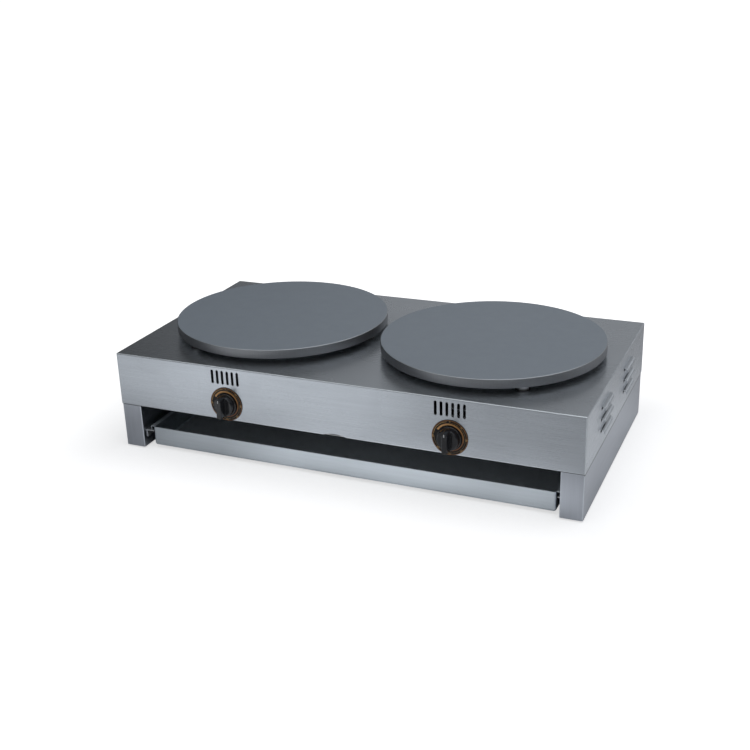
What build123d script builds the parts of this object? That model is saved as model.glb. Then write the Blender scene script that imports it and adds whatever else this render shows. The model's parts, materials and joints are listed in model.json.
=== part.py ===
"""Double electric crepe maker: a folded steel housing on two boxed side legs, two cast griddle plates
on short feet, a thermostat and knob for each plate, and a drip tray that slides out between the legs.

Millimetres, +Z up, front towards -Y. The origin is on the floor under the middle of the cooker's box.
"""
from build123d import *
import os
from math import asin, cos, degrees, radians, sin

os.makedirs("parts", exist_ok=True)

# --- Driving dimensions ---------------------------------------------------------------------------
# Housing and legs
body_width = 868.0
body_depth = 460.0
body_height = 100.0        # folded upper housing
leg_height = 83.0
leg_width = 39.0
leg_inset = 1.0            # legs stand this far inside the housing's faces
leg_lip = 8.0              # lips beside the long window in a leg's underside
pad_height = 3.0           # rubber pads below the legs
pad_diameter = 26.0
pad_edge_radius = 1.0
pad_end_distance = 30.0    # pad centre from a leg's end
sheet = 1.2                # housing and leg sheet
fold_radius = 2.0
lip = 14.0                 # return lips round the housing's underside and back
seat_gap = 0.3             # sheet pieces that slip inside one another

# Griddle plates and their feet
plate_diameter = 400.0
plate_spacing = 418.0      # between the plates' centres
plate_rim_height = 16.0
plate_rim_wall = 8.0
plate_web = 11.0           # cast thickness over the heating element
plate_edge_bevel = 0.8
foot_height = 10.0
foot_diameter = 24.0
foot_inset = 20.0          # foot centre in from the plate's edge
foot_first_angle = 303.0   # right-hand plate; the left-hand plate is its mirror image
feet_per_plate = 3
foot_boss_wall = 1.0       # boss beyond the foot all round
foot_screw_diameter = 6.0
foot_screw_head = 11.0
foot_screw_head_height = 4.0
foot_thread_depth = 9.0
thread_end_gap = 1.0       # air at the end of a blind tapped hole

# Openings in the housing's top, hidden below the plates
collar_foot_gap = 2.8      # between the opening's collar and the feet
collar_height = 5.0

# Front panel
knob_drop = 69.0           # knob axis below the housing's top
slot_count = 6
slot_pitch = 10.0
slot_width = 5.0
slot_length = 25.5
slot_drop = 19.6           # slot centre below the housing's top
notch_width = 52.0         # shallow finger arch in the front's lower edge
notch_height = 4.5
notch_end_radius = 14.0    # the arch runs out into the edge

# Side louvres
louvre_rows = 3
louvre_pitch = 20.8
louvre_drop = 31.0         # first lip below the housing's top
louvre_length = 70.0
louvre_radius = 7.5
louvre_wall = 0.8
louvre_front_group = -93.0  # group centres along the side, from the middle of the depth
louvre_back_group = 83.0

# Bottom panel, back panel and apron
floor_sheet = 1.0
floor_slot_length = 130.0
floor_slot_width = 8.0
floor_slot_pitch = 30.0
floor_slot_count = 7
back_margin = 2.0
back_corner = 3.0
back_vent_count = 9
back_vent_pitch = 13.0
back_vent_width = 5.0
back_vent_length = 44.0
back_screw_diameter = 4.0
back_screw_head = 8.0
back_screw_head_height = 2.4
back_screw_inset = 5.0
back_screw_columns = 4
screw_tip = 1.0            # screw end past the last sheet or nut
apron_flange = 16.0
apron_screw_count = 4
apron_screw_inset = 64.0   # outer screws from the legs
leg_bolt_diameter = 6.0
leg_bolt_head = 10.0
leg_bolt_head_height = 4.0
leg_nut_height = 5.0
leg_bolt_end_distance = 70.0
pad_stem_diameter = 8.0
pad_stem_height = 4.0

# Drip tray and its runners
tray_left_gap = 16.5       # between the left leg and the tray's side
tray_right_gap = 7.5       # the tray lies off centre, close to the right leg
tray_wall_gap = 0.5        # between the tray's right flange and the leg
tray_height = 36.5
tray_setback = 10.0        # tray front behind the housing's front
tray_stop_gap = 9.0        # between the tray's back and the apron
tray_floor_gap = 3.0       # tray bottom above the legs' bottom edge
tray_sheet = 1.0
tray_corner = 4.0
tray_bottom_radius = 5.0
tray_flange_drop = 8.0
tray_hem = 1.0             # folded hem along the front and back edges
tray_hem_height = 9.0
running_gap = 0.3          # between the tray and its runners
runner_sheet = 1.5
runner_tray_gap = 1.5      # between a runner's shelf and the tray's side
runner_web = 14.0
runner_setback = 12.0      # runner's front end behind the housing's front
runner_stop_gap = 21.0     # between a runner's back end and the apron
rivet_diameter = 4.0
rivet_head = 6.0
rivet_head_height = 1.2
rivet_end_distance = 30.0

# Heating stack below each plate
element_tube = 8.0
element_outer_radius = 136.0
element_inner_radius = 92.0
element_start_angle = 100.0
element_turn = 325.0
element_inner_turn = 300.0
element_bend_radius = 12.0
element_tail_length = 24.0
terminal_pin_diameter = 3.0
terminal_pin_length = 10.0
clamp_margin = 6.0         # clamp disc beyond the element's outer loop
clamp_thickness = 2.0
insulation_thickness = 12.0
pan_gap = 3.0              # round the clamp disc
pan_sheet = 1.0
stack_gap = 0.05           # pressed layers, drawn a hair apart
stud_diameter = 8.0
stud_thread_depth = 5.5
stud_tip = 4.0             # stud end past its nut
nut_across_flats = 13.0
nut_height = 6.5
tail_hole_gap = 1.0
bulb_diameter = 6.0
bulb_length = 80.0
bulb_clip_width = 12.0
bulb_clip_sheet = 0.8
bulb_clip_flange = 4.0
capillary_diameter = 2.0
capillary_bend = 9.0
capillary_hole_diameter = 8.0
capillary_run = 15.0       # straight on from the bulb before it turns down
capillary_low_z = 150.0
capillary_thermostat_x = 12.0
capillary_entry = 30.0

# Thermostats, dials and knobs
thermostat_plate_width = 46.0
thermostat_plate_height = 40.0
thermostat_plate = 1.5
thermostat_width = 38.0
thermostat_body_height = 34.0
thermostat_body_depth = 26.0
thermostat_corner = 4.0
bush_diameter = 9.0
bush_length = 4.0
spindle_diameter = 6.0
spindle_running_gap = 0.05
spindle_depth = 12.0       # bore inside the thermostat
spindle_end_gap = 0.3
spindle_flat = 1.5         # depth of the D-shaped flat
spindle_hole_diameter = 10.0
thermostat_screw_spacing = 28.0
thermostat_screw_diameter = 4.0
thermostat_screw_head = 7.0
thermostat_screw_head_height = 1.6
thermostat_screw_bite = 3.0  # thread inside the thermostat's body
dial_diameter = 63.0
dial_thickness = 1.5
dial_edge_radius = 0.5
knob_air = 0.5             # between the dial and the knob's skirt
knob_skirt_diameter = 42.0
knob_skirt_height = 4.0
knob_skirt_round = 1.3
knob_body_base = 39.0
knob_body_top = 36.0
knob_body_height = 13.0
knob_height = 28.0
knob_grip_width = 12.0
knob_grip_length = 39.0
knob_grip_top_width = 9.0
knob_grip_top_length = 36.0
knob_grip_corner = 3.5
knob_edge_radius = 1.5
knob_recess_diameter = 37.0
knob_recess_depth = 3.0
knob_bore_depth = 15.0
pointer_width = 2.0
pointer_length = 12.0
pointer_depth = 0.4

# Electrical inlet and wiring
gland_thread = 20.0
gland_hex = 24.0
gland_body_length = 10.0
gland_nut_diameter = 23.0
gland_nut_length = 14.0
gland_nut_round = 3.0
gland_bore = 12.0
gland_inside = 9.0
gland_drop = 62.0          # gland axis below the housing's top
locknut_height = 5.0
block_poles = 5
block_pole_pitch = 14.0
block_pole_width = 12.0
terminal_depth = 24.0
block_base_height = 6.0
block_height = 20.0
block_ear = 6.0            # base beyond the outer poles
block_corner = 2.0
block_back_distance = 60.0
block_wire_height = 8.0    # wire holes above the housing's floor
block_screw_diameter = 5.0
block_screw_depth = 6.5
block_screw_height = 3.3
earth_distance = 42.0      # earth stud in front of the terminal block
earth_diameter = 6.0
earth_length = 16.0
wire_diameter = 3.2
wire_bend = 12.0
live_lead_out = 40.0
live_lead_in = 60.0
neutral_lead_out = 28.0
live_z = 106.0
switched_z = 125.0

# --- Levels and places worked out from the driving dimensions ---------------------------------------
leg_bottom_z = pad_height
seam_z = leg_bottom_z + leg_height
top_z = seam_z + body_height
plate_bottom_z = top_z + foot_height
plate_top_z = plate_bottom_z + plate_rim_height
web_z = plate_top_z - plate_web

reach_front = dial_thickness + knob_air + knob_height
reach_back = sheet + gland_body_length + gland_nut_length
front_y = -(body_depth + reach_back - reach_front) / 2
mid_y = front_y + body_depth / 2
back_y = front_y + body_depth

plate_x = plate_spacing / 2
plate_centres = [(-plate_x, mid_y), (plate_x, mid_y)]
knob_z = top_z - knob_drop
slot_z = top_z - slot_drop
inner_front_y = front_y + sheet
floor_top_z = seam_z + sheet + floor_sheet
leg_x = body_width / 2 - leg_inset - leg_width / 2
leg_inner_x = leg_x - leg_width / 2
leg_depth = body_depth - 2 * leg_inset
apron_back_y = back_y - leg_inset
apron_front_y = apron_back_y - apron_flange
sides = (("left", -1), ("right", 1))

tray_bottom_z = leg_bottom_z + tray_floor_gap
tray_top_z = tray_bottom_z + tray_height
tray_gaps = {-1: tray_left_gap, 1: tray_right_gap}
tray_side_x = {sign: sign * (leg_inner_x - gap) for sign, gap in tray_gaps.items()}
tray_width = tray_side_x[1] - tray_side_x[-1]
tray_mid_x = (tray_side_x[1] + tray_side_x[-1]) / 2
tray_flange = tray_right_gap - tray_wall_gap
tray_front_y = front_y + tray_setback
tray_depth = apron_front_y - tray_stop_gap - tray_front_y
tray_mid_y = tray_front_y + tray_depth / 2
shelf_top_z = tray_top_z - tray_flange_drop - running_gap
runner_front_y = front_y + runner_setback
runner_length = apron_front_y - runner_stop_gap - runner_front_y
rivet_z = shelf_top_z - (runner_sheet + runner_web) / 2
rivet_ys = [
    runner_front_y + step
    for step in (rivet_end_distance, runner_length / 2, runner_length - rivet_end_distance)
]

foot_circle_radius = plate_diameter / 2 - foot_inset
foot_boss_diameter = foot_diameter + 2 * foot_boss_wall
opening_radius = foot_circle_radius - foot_diameter / 2 - collar_foot_gap - sheet
clamp_diameter = 2 * element_outer_radius + element_tube + 2 * clamp_margin
pan_diameter = clamp_diameter + 2 * (pan_gap + pan_sheet)
bulb_radius = (element_outer_radius + element_inner_radius) / 2
element_z = web_z - element_tube / 2
clamp_z = web_z - element_tube - stack_gap - clamp_thickness
insulation_z = clamp_z - stack_gap - insulation_thickness
pan_z = insulation_z - stack_gap - pan_sheet
dial_face_y = front_y - dial_thickness
knob_back_y = dial_face_y - knob_air
thermostat_back_y = inner_front_y + thermostat_plate + thermostat_body_depth


def finish(piece, name):
    """Label a finished sub-part and write its STEP file."""
    piece.part.label = name
    export_step(piece.part, f"parts/{name}.step")


def upright(y):
    """A plane across the cooker at depth y, facing the front, with X to the right and Z up."""
    return Plane(origin=(0, y, 0), x_dir=(1, 0, 0), z_dir=(0, -1, 0))


def on_circle(centre, radius, angle, z=0.0):
    """A point on a circle round a plate's centre."""
    return (centre[0] + radius * cos(radians(angle)), centre[1] + radius * sin(radians(angle)), z)


def foot_angles(sign):
    """Feet of one plate, mirrored from side to side."""
    step = 360 / feet_per_plate
    right_hand = [foot_first_angle + i * step for i in range(feet_per_plate)]
    return right_hand if sign > 0 else [180 - angle for angle in right_hand]


def foot_points(sign):
    """Centres of the feet of one plate."""
    centre = (sign * plate_x, mid_y)
    return [on_circle(centre, foot_circle_radius, angle)[:2] for angle in foot_angles(sign)]


# --- Side louvre: a quarter-round hood, open below and at its front end, closed by a dome behind -----
def louvre(sign):
    """One hood with its flat root on the plane x = 0 and its lip's front end at the origin."""
    tube_length = louvre_length - louvre_radius
    with BuildPart() as hood:
        with BuildSketch(Plane.XZ):
            Circle(louvre_radius)
            Circle(louvre_radius - louvre_wall, mode=Mode.SUBTRACT)
        extrude(amount=-tube_length)
        with Locations((0, tube_length, 0)):
            Sphere(louvre_radius)
        with BuildSketch(Plane.XZ):
            Circle(louvre_radius - louvre_wall)
        extrude(amount=-tube_length, mode=Mode.SUBTRACT)
        with Locations((0, tube_length, 0)):
            Sphere(louvre_radius - louvre_wall, mode=Mode.SUBTRACT)
        with Locations((sign * louvre_radius / 2, louvre_length / 2, louvre_radius / 2)):
            Box(louvre_radius, louvre_length, louvre_radius, mode=Mode.INTERSECT)
    return hood.part


def louvre_places(sign):
    """Front ends of the lips on one side of the housing."""
    starts = [mid_y + centre - louvre_length / 2 for centre in (louvre_front_group, louvre_back_group)]
    drops = [louvre_drop + row * louvre_pitch for row in range(louvre_rows)]
    return [(sign * body_width / 2, y, top_z - drop) for y in starts for drop in drops]


# --- Upper housing: one folded sheet with lips round its underside and back --------------------------
back_screw_x = body_width / 2 - back_margin - back_screw_inset
back_screw_top_z = top_z - back_margin - back_screw_inset
back_screw_bottom_z = seam_z + back_margin + back_screw_inset
back_screw_pitch = 2 * back_screw_x / (back_screw_columns - 1)
back_screw_points = [
    (column * back_screw_pitch - back_screw_x, z)
    for column in range(back_screw_columns)
    for z in (back_screw_bottom_z, back_screw_top_z)
]
leg_bolt_points = [
    (sign * (body_width / 2 - lip / 2 - sheet / 2), y)
    for sign in (-1, 1)
    for y in (front_y + leg_bolt_end_distance, back_y - leg_bolt_end_distance)
]
apron_screw_x = leg_inner_x - apron_screw_inset
apron_screw_pitch = 2 * apron_screw_x / (apron_screw_count - 1)
apron_screw_points = [
    (column * apron_screw_pitch - apron_screw_x, back_y - lip / 2) for column in range(apron_screw_count)
]
earth_y = back_y - block_back_distance - terminal_depth / 2 - earth_distance
thermostat_screw_points = [
    (sign * plate_x + dx, knob_z)
    for sign in (-1, 1)
    for dx in (-thermostat_screw_spacing / 2, thermostat_screw_spacing / 2)
]

notch_arch_radius = (notch_width**2 / 4 + notch_height**2) / (2 * notch_height) - notch_end_radius
notch_turn = degrees(asin(notch_width / 2 / (notch_arch_radius + notch_end_radius)))

with BuildPart() as top_housing:
    with BuildSketch(Plane.XY.offset(seam_z)):
        with Locations((0, mid_y)):
            Rectangle(body_width, body_depth)
    extrude(amount=body_height)
    fillet(top_housing.edges(), fold_radius)
    with BuildSketch(Plane.XY.offset(seam_z + sheet)):
        with Locations((0, mid_y)):
            Rectangle(body_width - 2 * sheet, body_depth - 2 * sheet)
    extrude(amount=body_height - 2 * sheet, mode=Mode.SUBTRACT)
    # Windows inside the return lips of the underside and the back
    with BuildSketch(Plane.XY.offset(seam_z)):
        with Locations((0, mid_y)):
            Rectangle(body_width - 2 * lip, body_depth - 2 * lip)
    extrude(amount=sheet, mode=Mode.SUBTRACT)
    with BuildSketch(upright(back_y)):
        with Locations((0, seam_z + body_height / 2)):
            Rectangle(body_width - 2 * lip, body_height - 2 * lip)
    extrude(amount=sheet, mode=Mode.SUBTRACT)
    # Round openings with upturned collars below the plates
    with BuildSketch(Plane.XY.offset(top_z)):
        with Locations(*plate_centres):
            Circle(opening_radius + sheet)
    extrude(amount=collar_height)
    with BuildSketch(Plane.XY.offset(top_z - sheet)):
        with Locations(*plate_centres):
            Circle(opening_radius)
    extrude(amount=collar_height + sheet, mode=Mode.SUBTRACT)
    # Holes for the plates' foot screws
    with BuildSketch(Plane.XY.offset(top_z - sheet)):
        with Locations(*foot_points(-1), *foot_points(1)):
            Circle(foot_screw_diameter / 2 + seat_gap)
    extrude(amount=sheet, mode=Mode.SUBTRACT)
    # Front panel: vent slots, spindle holes and thermostat screw holes
    with BuildSketch(upright(front_y)):
        for centre_x in (-plate_x, plate_x):
            with Locations((centre_x, slot_z)):
                with GridLocations(slot_pitch, 0, slot_count, 1):
                    SlotOverall(slot_length, slot_width, rotation=90)
            with Locations((centre_x, knob_z)):
                Circle(spindle_hole_diameter / 2)
        with Locations(*thermostat_screw_points):
            Circle(thermostat_screw_diameter / 2 + stack_gap)
    extrude(amount=-sheet, mode=Mode.SUBTRACT)
    # Shallow arch in the middle of the front's lower edge
    with BuildSketch(upright(front_y)):
        with BuildLine():
            run_in = JernArc((-notch_width / 2, seam_z), (1, 0), notch_end_radius, notch_turn)
            arch = JernArc(run_in @ 1, run_in % 1, notch_arch_radius, -2 * notch_turn)
            run_out = JernArc(arch @ 1, arch % 1, notch_end_radius, notch_turn)
            Line(run_out @ 1, run_in @ 0)
        make_face()
    extrude(amount=-lip, mode=Mode.SUBTRACT)
    # Screw holes in the back lips and bolt holes in the lower lips
    with BuildSketch(upright(back_y)):
        with Locations(*back_screw_points):
            Circle(back_screw_diameter / 2 + stack_gap)
    extrude(amount=sheet, mode=Mode.SUBTRACT)
    with BuildSketch(Plane.XY.offset(seam_z)):
        with Locations(*leg_bolt_points):
            Circle(leg_bolt_diameter / 2 + stack_gap)
        with Locations(*apron_screw_points):
            Circle(back_screw_diameter / 2 + stack_gap)
    extrude(amount=sheet, mode=Mode.SUBTRACT)
    # Louvres: slits through the side walls, then the hoods over them
    for side_name, sign in sides:
        slit_height = louvre_radius - louvre_wall
        with Locations(*louvre_places(sign)):
            with Locations((-sign * sheet / 2, (louvre_length - louvre_wall) / 2, slit_height / 2)):
                Box(sheet, louvre_length - louvre_wall, slit_height, mode=Mode.SUBTRACT)
    for side_name, sign in sides:
        with Locations(*louvre_places(sign)):
            add(louvre(sign))
finish(top_housing, "top_housing")

# --- Back panel, screwed over the rear lips -----------------------------------------------------------
gland_z = top_z - gland_drop
with BuildPart() as back_panel:
    with BuildSketch(upright(back_y)):
        with Locations((0, seam_z + body_height / 2)):
            RectangleRounded(body_width - 2 * back_margin, body_height - 2 * back_margin, back_corner)
        for centre_x in (-plate_x, plate_x):
            with Locations((centre_x, seam_z + body_height / 2)):
                with GridLocations(back_vent_pitch, 0, back_vent_count, 1):
                    SlotOverall(back_vent_length, back_vent_width, rotation=90, mode=Mode.SUBTRACT)
        with Locations(*back_screw_points):
            Circle(back_screw_diameter / 2 + stack_gap, mode=Mode.SUBTRACT)
        with Locations((0, gland_z)):
            Circle(gland_thread / 2 + stack_gap, mode=Mode.SUBTRACT)
    extrude(amount=-sheet)
finish(back_panel, "back_panel")

with BuildPart() as back_panel_screws:
    with BuildSketch(upright(back_y + sheet)):
        with Locations(*back_screw_points):
            Circle(back_screw_head / 2)
    extrude(amount=-back_screw_head_height)
    fillet(back_panel_screws.edges().group_by(Axis.Y)[-1], back_screw_head_height / 2)
    with BuildSketch(upright(back_y + sheet)):
        with Locations(*back_screw_points):
            Circle(back_screw_diameter / 2)
    extrude(amount=2 * sheet + screw_tip)
finish(back_panel_screws, "back_panel_screws")

# --- Side legs: boxed channels under the housing's ends ------------------------------------------------
pad_y = leg_depth / 2 - pad_end_distance
for side_name, sign in sides:
    with BuildPart() as side_leg:
        with BuildSketch(Plane.XY.offset(leg_bottom_z)):
            with Locations((sign * leg_x, mid_y)):
                RectangleRounded(leg_width, leg_depth, fold_radius)
        extrude(amount=leg_height)
        with BuildSketch(Plane.XY.offset(leg_bottom_z + sheet)):
            with Locations((sign * leg_x, mid_y)):
                Rectangle(leg_width - 2 * sheet, leg_depth - 2 * sheet)
        extrude(amount=leg_height - 2 * sheet, mode=Mode.SUBTRACT)
        # Long window in the underside, between the webs that carry the pads
        with BuildSketch(Plane.XY.offset(leg_bottom_z)):
            with Locations((sign * leg_x, mid_y)):
                Rectangle(leg_width - 2 * leg_lip, leg_depth - 4 * pad_end_distance)
        extrude(amount=sheet, mode=Mode.SUBTRACT)
        # Window in the top web, clear of the bolts, and the bolt holes themselves
        with BuildSketch(Plane.XY.offset(leg_bottom_z + leg_height - sheet)):
            with Locations((sign * leg_x, mid_y)):
                Rectangle(leg_width - 2 * lip, leg_depth - 2 * leg_bolt_end_distance)
            with Locations(*[point for point in leg_bolt_points if point[0] * sign > 0]):
                Circle(leg_bolt_diameter / 2 + stack_gap)
        extrude(amount=sheet, mode=Mode.SUBTRACT)
        # Holes for the runner's rivets and for the pads' stems
        with BuildSketch(Plane.YZ.offset(sign * leg_inner_x)):
            with Locations(*[(y, rivet_z) for y in rivet_ys]):
                Circle(rivet_diameter / 2 + stack_gap)
        extrude(amount=sign * sheet, mode=Mode.SUBTRACT)
        with BuildSketch(Plane.XY.offset(leg_bottom_z)):
            with Locations((sign * leg_x, mid_y)):
                with GridLocations(0, 2 * pad_y, 1, 2):
                    Circle(pad_stem_diameter / 2 + stack_gap)
        extrude(amount=sheet, mode=Mode.SUBTRACT)
    finish(side_leg, f"{side_name}_side_leg")

with BuildPart() as leg_bolts:
    with BuildSketch(Plane.XY.offset(floor_top_z)):
        with Locations(*leg_bolt_points):
            RegularPolygon(leg_bolt_head / 2, 6)
    extrude(amount=leg_bolt_head_height)
    with BuildSketch(Plane.XY.offset(floor_top_z)):
        with Locations(*leg_bolt_points):
            Circle(leg_bolt_diameter / 2)
    extrude(amount=-(floor_sheet + 2 * sheet + leg_nut_height + screw_tip))
    # Nuts below the legs' top webs
    with BuildSketch(Plane.XY.offset(seam_z - sheet)):
        with Locations(*leg_bolt_points):
            RegularPolygon(leg_bolt_head / 2, 6)
            Circle(leg_bolt_diameter / 2 + stack_gap, mode=Mode.SUBTRACT)
    extrude(amount=-leg_nut_height)
finish(leg_bolts, "leg_bolts")

with BuildPart() as rubber_pads:
    with BuildSketch(Plane.XY):
        with Locations((0, mid_y)):
            with GridLocations(2 * leg_x, 2 * pad_y, 2, 2):
                Circle(pad_diameter / 2)
    extrude(amount=pad_height)
    fillet(rubber_pads.edges().group_by(Axis.Z)[0], pad_edge_radius)
    with BuildSketch(Plane.XY.offset(pad_height)):
        with Locations((0, mid_y)):
            with GridLocations(2 * leg_x, 2 * pad_y, 2, 2):
                Circle(pad_stem_diameter / 2)
    extrude(amount=pad_stem_height)
finish(rubber_pads, "rubber_pads")

# --- Floor of the housing, over the tray bay ------------------------------------------------------------
with BuildPart() as bottom_panel:
    with BuildSketch(Plane.XY.offset(seam_z + sheet)):
        with Locations((0, mid_y)):
            Rectangle(body_width - 2 * sheet - 2 * seat_gap, body_depth - 2 * sheet - 2 * seat_gap)
        for centre in plate_centres:
            with Locations(centre):
                with GridLocations(0, floor_slot_pitch, 1, floor_slot_count):
                    SlotOverall(floor_slot_length, floor_slot_width, mode=Mode.SUBTRACT)
        with Locations(*leg_bolt_points):
            Circle(leg_bolt_diameter / 2 + stack_gap, mode=Mode.SUBTRACT)
        with Locations(*apron_screw_points):
            Circle(back_screw_diameter / 2 + stack_gap, mode=Mode.SUBTRACT)
        with Locations((0, earth_y)):
            Circle(earth_diameter / 2 + stack_gap, mode=Mode.SUBTRACT)
    extrude(amount=floor_sheet)
finish(bottom_panel, "bottom_panel")

# --- Apron across the back of the tray bay ---------------------------------------------------------------
apron_width = 2 * leg_inner_x - 2 * stack_gap
with BuildPart() as rear_apron:
    with BuildSketch(Plane.XY.offset(leg_bottom_z)):
        with Locations((0, apron_back_y - apron_flange / 2)):
            Rectangle(apron_width, apron_flange)
    extrude(amount=leg_height)
    with BuildSketch(Plane.XY.offset(leg_bottom_z + sheet)):
        with Locations((0, apron_back_y - apron_flange / 2 - sheet)):
            Rectangle(apron_width - 2 * sheet, apron_flange)
    extrude(amount=leg_height - 2 * sheet, mode=Mode.SUBTRACT)
    with BuildSketch(Plane.XY.offset(seam_z - sheet)):
        with Locations(*apron_screw_points):
            Circle(back_screw_diameter / 2 + stack_gap)
    extrude(amount=sheet, mode=Mode.SUBTRACT)
finish(rear_apron, "rear_apron")

with BuildPart() as apron_screws:
    with BuildSketch(Plane.XY.offset(seam_z - sheet)):
        with Locations(*apron_screw_points):
            Circle(back_screw_head / 2)
    extrude(amount=-back_screw_head_height)
    with BuildSketch(Plane.XY.offset(seam_z - sheet)):
        with Locations(*apron_screw_points):
            Circle(back_screw_diameter / 2)
    extrude(amount=2 * sheet + floor_sheet + screw_tip)
finish(apron_screws, "apron_screws")

# --- Tray runners: angles riveted to the legs' inner walls ------------------------------------------------
for side_name, sign in sides:
    wall_x = sign * leg_inner_x
    web_x = wall_x - sign * runner_sheet
    shelf_x = tray_side_x[sign] + sign * runner_tray_gap
    with BuildPart() as runner:
        with BuildSketch(upright(runner_front_y)):
            with BuildLine():
                Polyline(
                    (wall_x, shelf_top_z),
                    (shelf_x, shelf_top_z),
                    (shelf_x, shelf_top_z - runner_sheet),
                    (web_x, shelf_top_z - runner_sheet),
                    (web_x, shelf_top_z - runner_web),
                    (wall_x, shelf_top_z - runner_web),
                    close=True,
                )
            make_face()
        extrude(amount=-runner_length)
        with BuildSketch(Plane.YZ.offset(wall_x)):
            with Locations(*[(y, rivet_z) for y in rivet_ys]):
                Circle(rivet_diameter / 2 + stack_gap)
        extrude(amount=runner_sheet, both=True, mode=Mode.SUBTRACT)
    finish(runner, f"{side_name}_runner")

rivet_grip = runner_sheet + sheet
with BuildPart() as runner_rivets:
    for side_name, sign in sides:
        with BuildSketch(Plane.YZ.offset(sign * (leg_inner_x - runner_sheet))):
            with Locations(*[(y, rivet_z) for y in rivet_ys]):
                Circle(rivet_head / 2)
        extrude(amount=-sign * rivet_head_height)
        with BuildSketch(Plane.YZ.offset(sign * (leg_inner_x - runner_sheet))):
            with Locations(*[(y, rivet_z) for y in rivet_ys]):
                Circle(rivet_diameter / 2)
        extrude(amount=sign * rivet_grip)
        with BuildSketch(Plane.YZ.offset(sign * (leg_inner_x + sheet))):
            with Locations(*[(y, rivet_z) for y in rivet_ys]):
                Circle(rivet_head / 2)
        extrude(amount=sign * rivet_head_height)
finish(runner_rivets, "runner_rivets")

# --- Drip tray: folded pan with turned-down side flanges and hemmed front and back edges -----------------
with BuildPart() as drip_tray:
    with BuildSketch(Plane.XY.offset(tray_bottom_z)):
        with Locations((tray_mid_x, tray_mid_y)):
            RectangleRounded(tray_width, tray_depth, tray_corner)
    extrude(amount=tray_height)
    fillet(drip_tray.edges().group_by(Axis.Z)[0], tray_bottom_radius)
    offset(amount=-tray_sheet, openings=drip_tray.faces().sort_by(Axis.Z)[-1])
    flange_length = tray_depth - 2 * tray_corner
    for sign, side_x in tray_side_x.items():
        with BuildSketch(Plane.XY.offset(tray_top_z - tray_sheet)):
            with Locations((side_x + sign * (tray_flange - tray_sheet) / 2, tray_mid_y)):
                Rectangle(tray_flange + tray_sheet, flange_length)
        extrude(amount=tray_sheet)
        with BuildSketch(Plane.XY.offset(tray_top_z - tray_flange_drop)):
            with Locations((side_x + sign * (tray_flange - tray_sheet / 2), tray_mid_y)):
                Rectangle(tray_sheet, flange_length)
        extrude(amount=tray_flange_drop)
    # Hems folded inwards along the front and back edges
    hem_y = tray_depth / 2 - tray_sheet - tray_hem / 2
    with BuildSketch(Plane.XY.offset(tray_top_z - tray_hem_height)):
        with Locations((tray_mid_x, tray_mid_y)):
            with GridLocations(0, 2 * hem_y, 1, 2):
                Rectangle(tray_width - 4 * tray_corner, tray_hem)
    extrude(amount=tray_hem_height)
finish(drip_tray, "drip_tray")

# --- Griddle plates and their feet -------------------------------------------------------------------------
for side_name, sign in sides:
    centre = (sign * plate_x, mid_y)
    with BuildPart() as griddle_plate:
        with BuildSketch(Plane.XY.offset(plate_bottom_z)):
            with Locations(centre):
                Circle(plate_diameter / 2)
        extrude(amount=plate_rim_height)
        chamfer(griddle_plate.edges().group_by(Axis.Z)[-1], plate_edge_bevel)
        with BuildSketch(Plane.XY.offset(plate_bottom_z)):
            with Locations(centre):
                Circle(plate_diameter / 2 - plate_rim_wall)
        extrude(amount=plate_rim_height - plate_web, mode=Mode.SUBTRACT)
        # Bosses for the feet, with blind tapped holes
        with BuildSketch(Plane.XY.offset(plate_bottom_z)):
            with Locations(*foot_points(sign)):
                Circle(foot_boss_diameter / 2)
        extrude(amount=plate_rim_height - plate_web)
        with BuildSketch(Plane.XY.offset(plate_bottom_z)):
            with Locations(*foot_points(sign)):
                Circle(foot_screw_diameter / 2 + stack_gap)
        extrude(amount=foot_thread_depth, mode=Mode.SUBTRACT)
        # Blind tapped hole for the central stud
        with BuildSketch(Plane.XY.offset(web_z)):
            with Locations(centre):
                Circle(stud_diameter / 2 + stack_gap)
        extrude(amount=stud_thread_depth, mode=Mode.SUBTRACT)
    finish(griddle_plate, f"{side_name}_griddle_plate")

    with BuildPart() as plate_feet:
        with BuildSketch(Plane.XY.offset(top_z)):
            with Locations(*foot_points(sign)):
                Circle(foot_diameter / 2)
                Circle(foot_screw_diameter / 2 + stack_gap, mode=Mode.SUBTRACT)
        extrude(amount=foot_height)
    finish(plate_feet, f"{side_name}_plate_feet")

with BuildPart() as foot_screws:
    all_foot_points = foot_points(-1) + foot_points(1)
    with BuildSketch(Plane.XY.offset(top_z - sheet)):
        with Locations(*all_foot_points):
            RegularPolygon(foot_screw_head / 2, 6)
    extrude(amount=-foot_screw_head_height)
    with BuildSketch(Plane.XY.offset(top_z - sheet)):
        with Locations(*all_foot_points):
            Circle(foot_screw_diameter / 2)
    extrude(amount=sheet + foot_height + foot_thread_depth - thread_end_gap)
finish(foot_screws, "foot_screws")

# --- Heating stack under each plate: element, clamp disc, insulation and pan -------------------------------
element_end_angle = element_start_angle + element_turn - element_inner_turn
bulb_z = web_z - bulb_diameter / 2 - stack_gap
capillary_x = bulb_length / 2 + capillary_run


def spot(sign, x, y, z):
    """A point near one plate: x outwards and y backwards from the plate's centre."""
    return (sign * (plate_x + x), mid_y + y, z)


def tail_end(radius, angle, reach=element_bend_radius):
    """A point past the end of a loop: its tail hangs there, a bend's radius away."""
    x = radius * cos(radians(angle)) + reach * sin(radians(angle))
    y = radius * sin(radians(angle)) - reach * cos(radians(angle))
    return (x, y)


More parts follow.
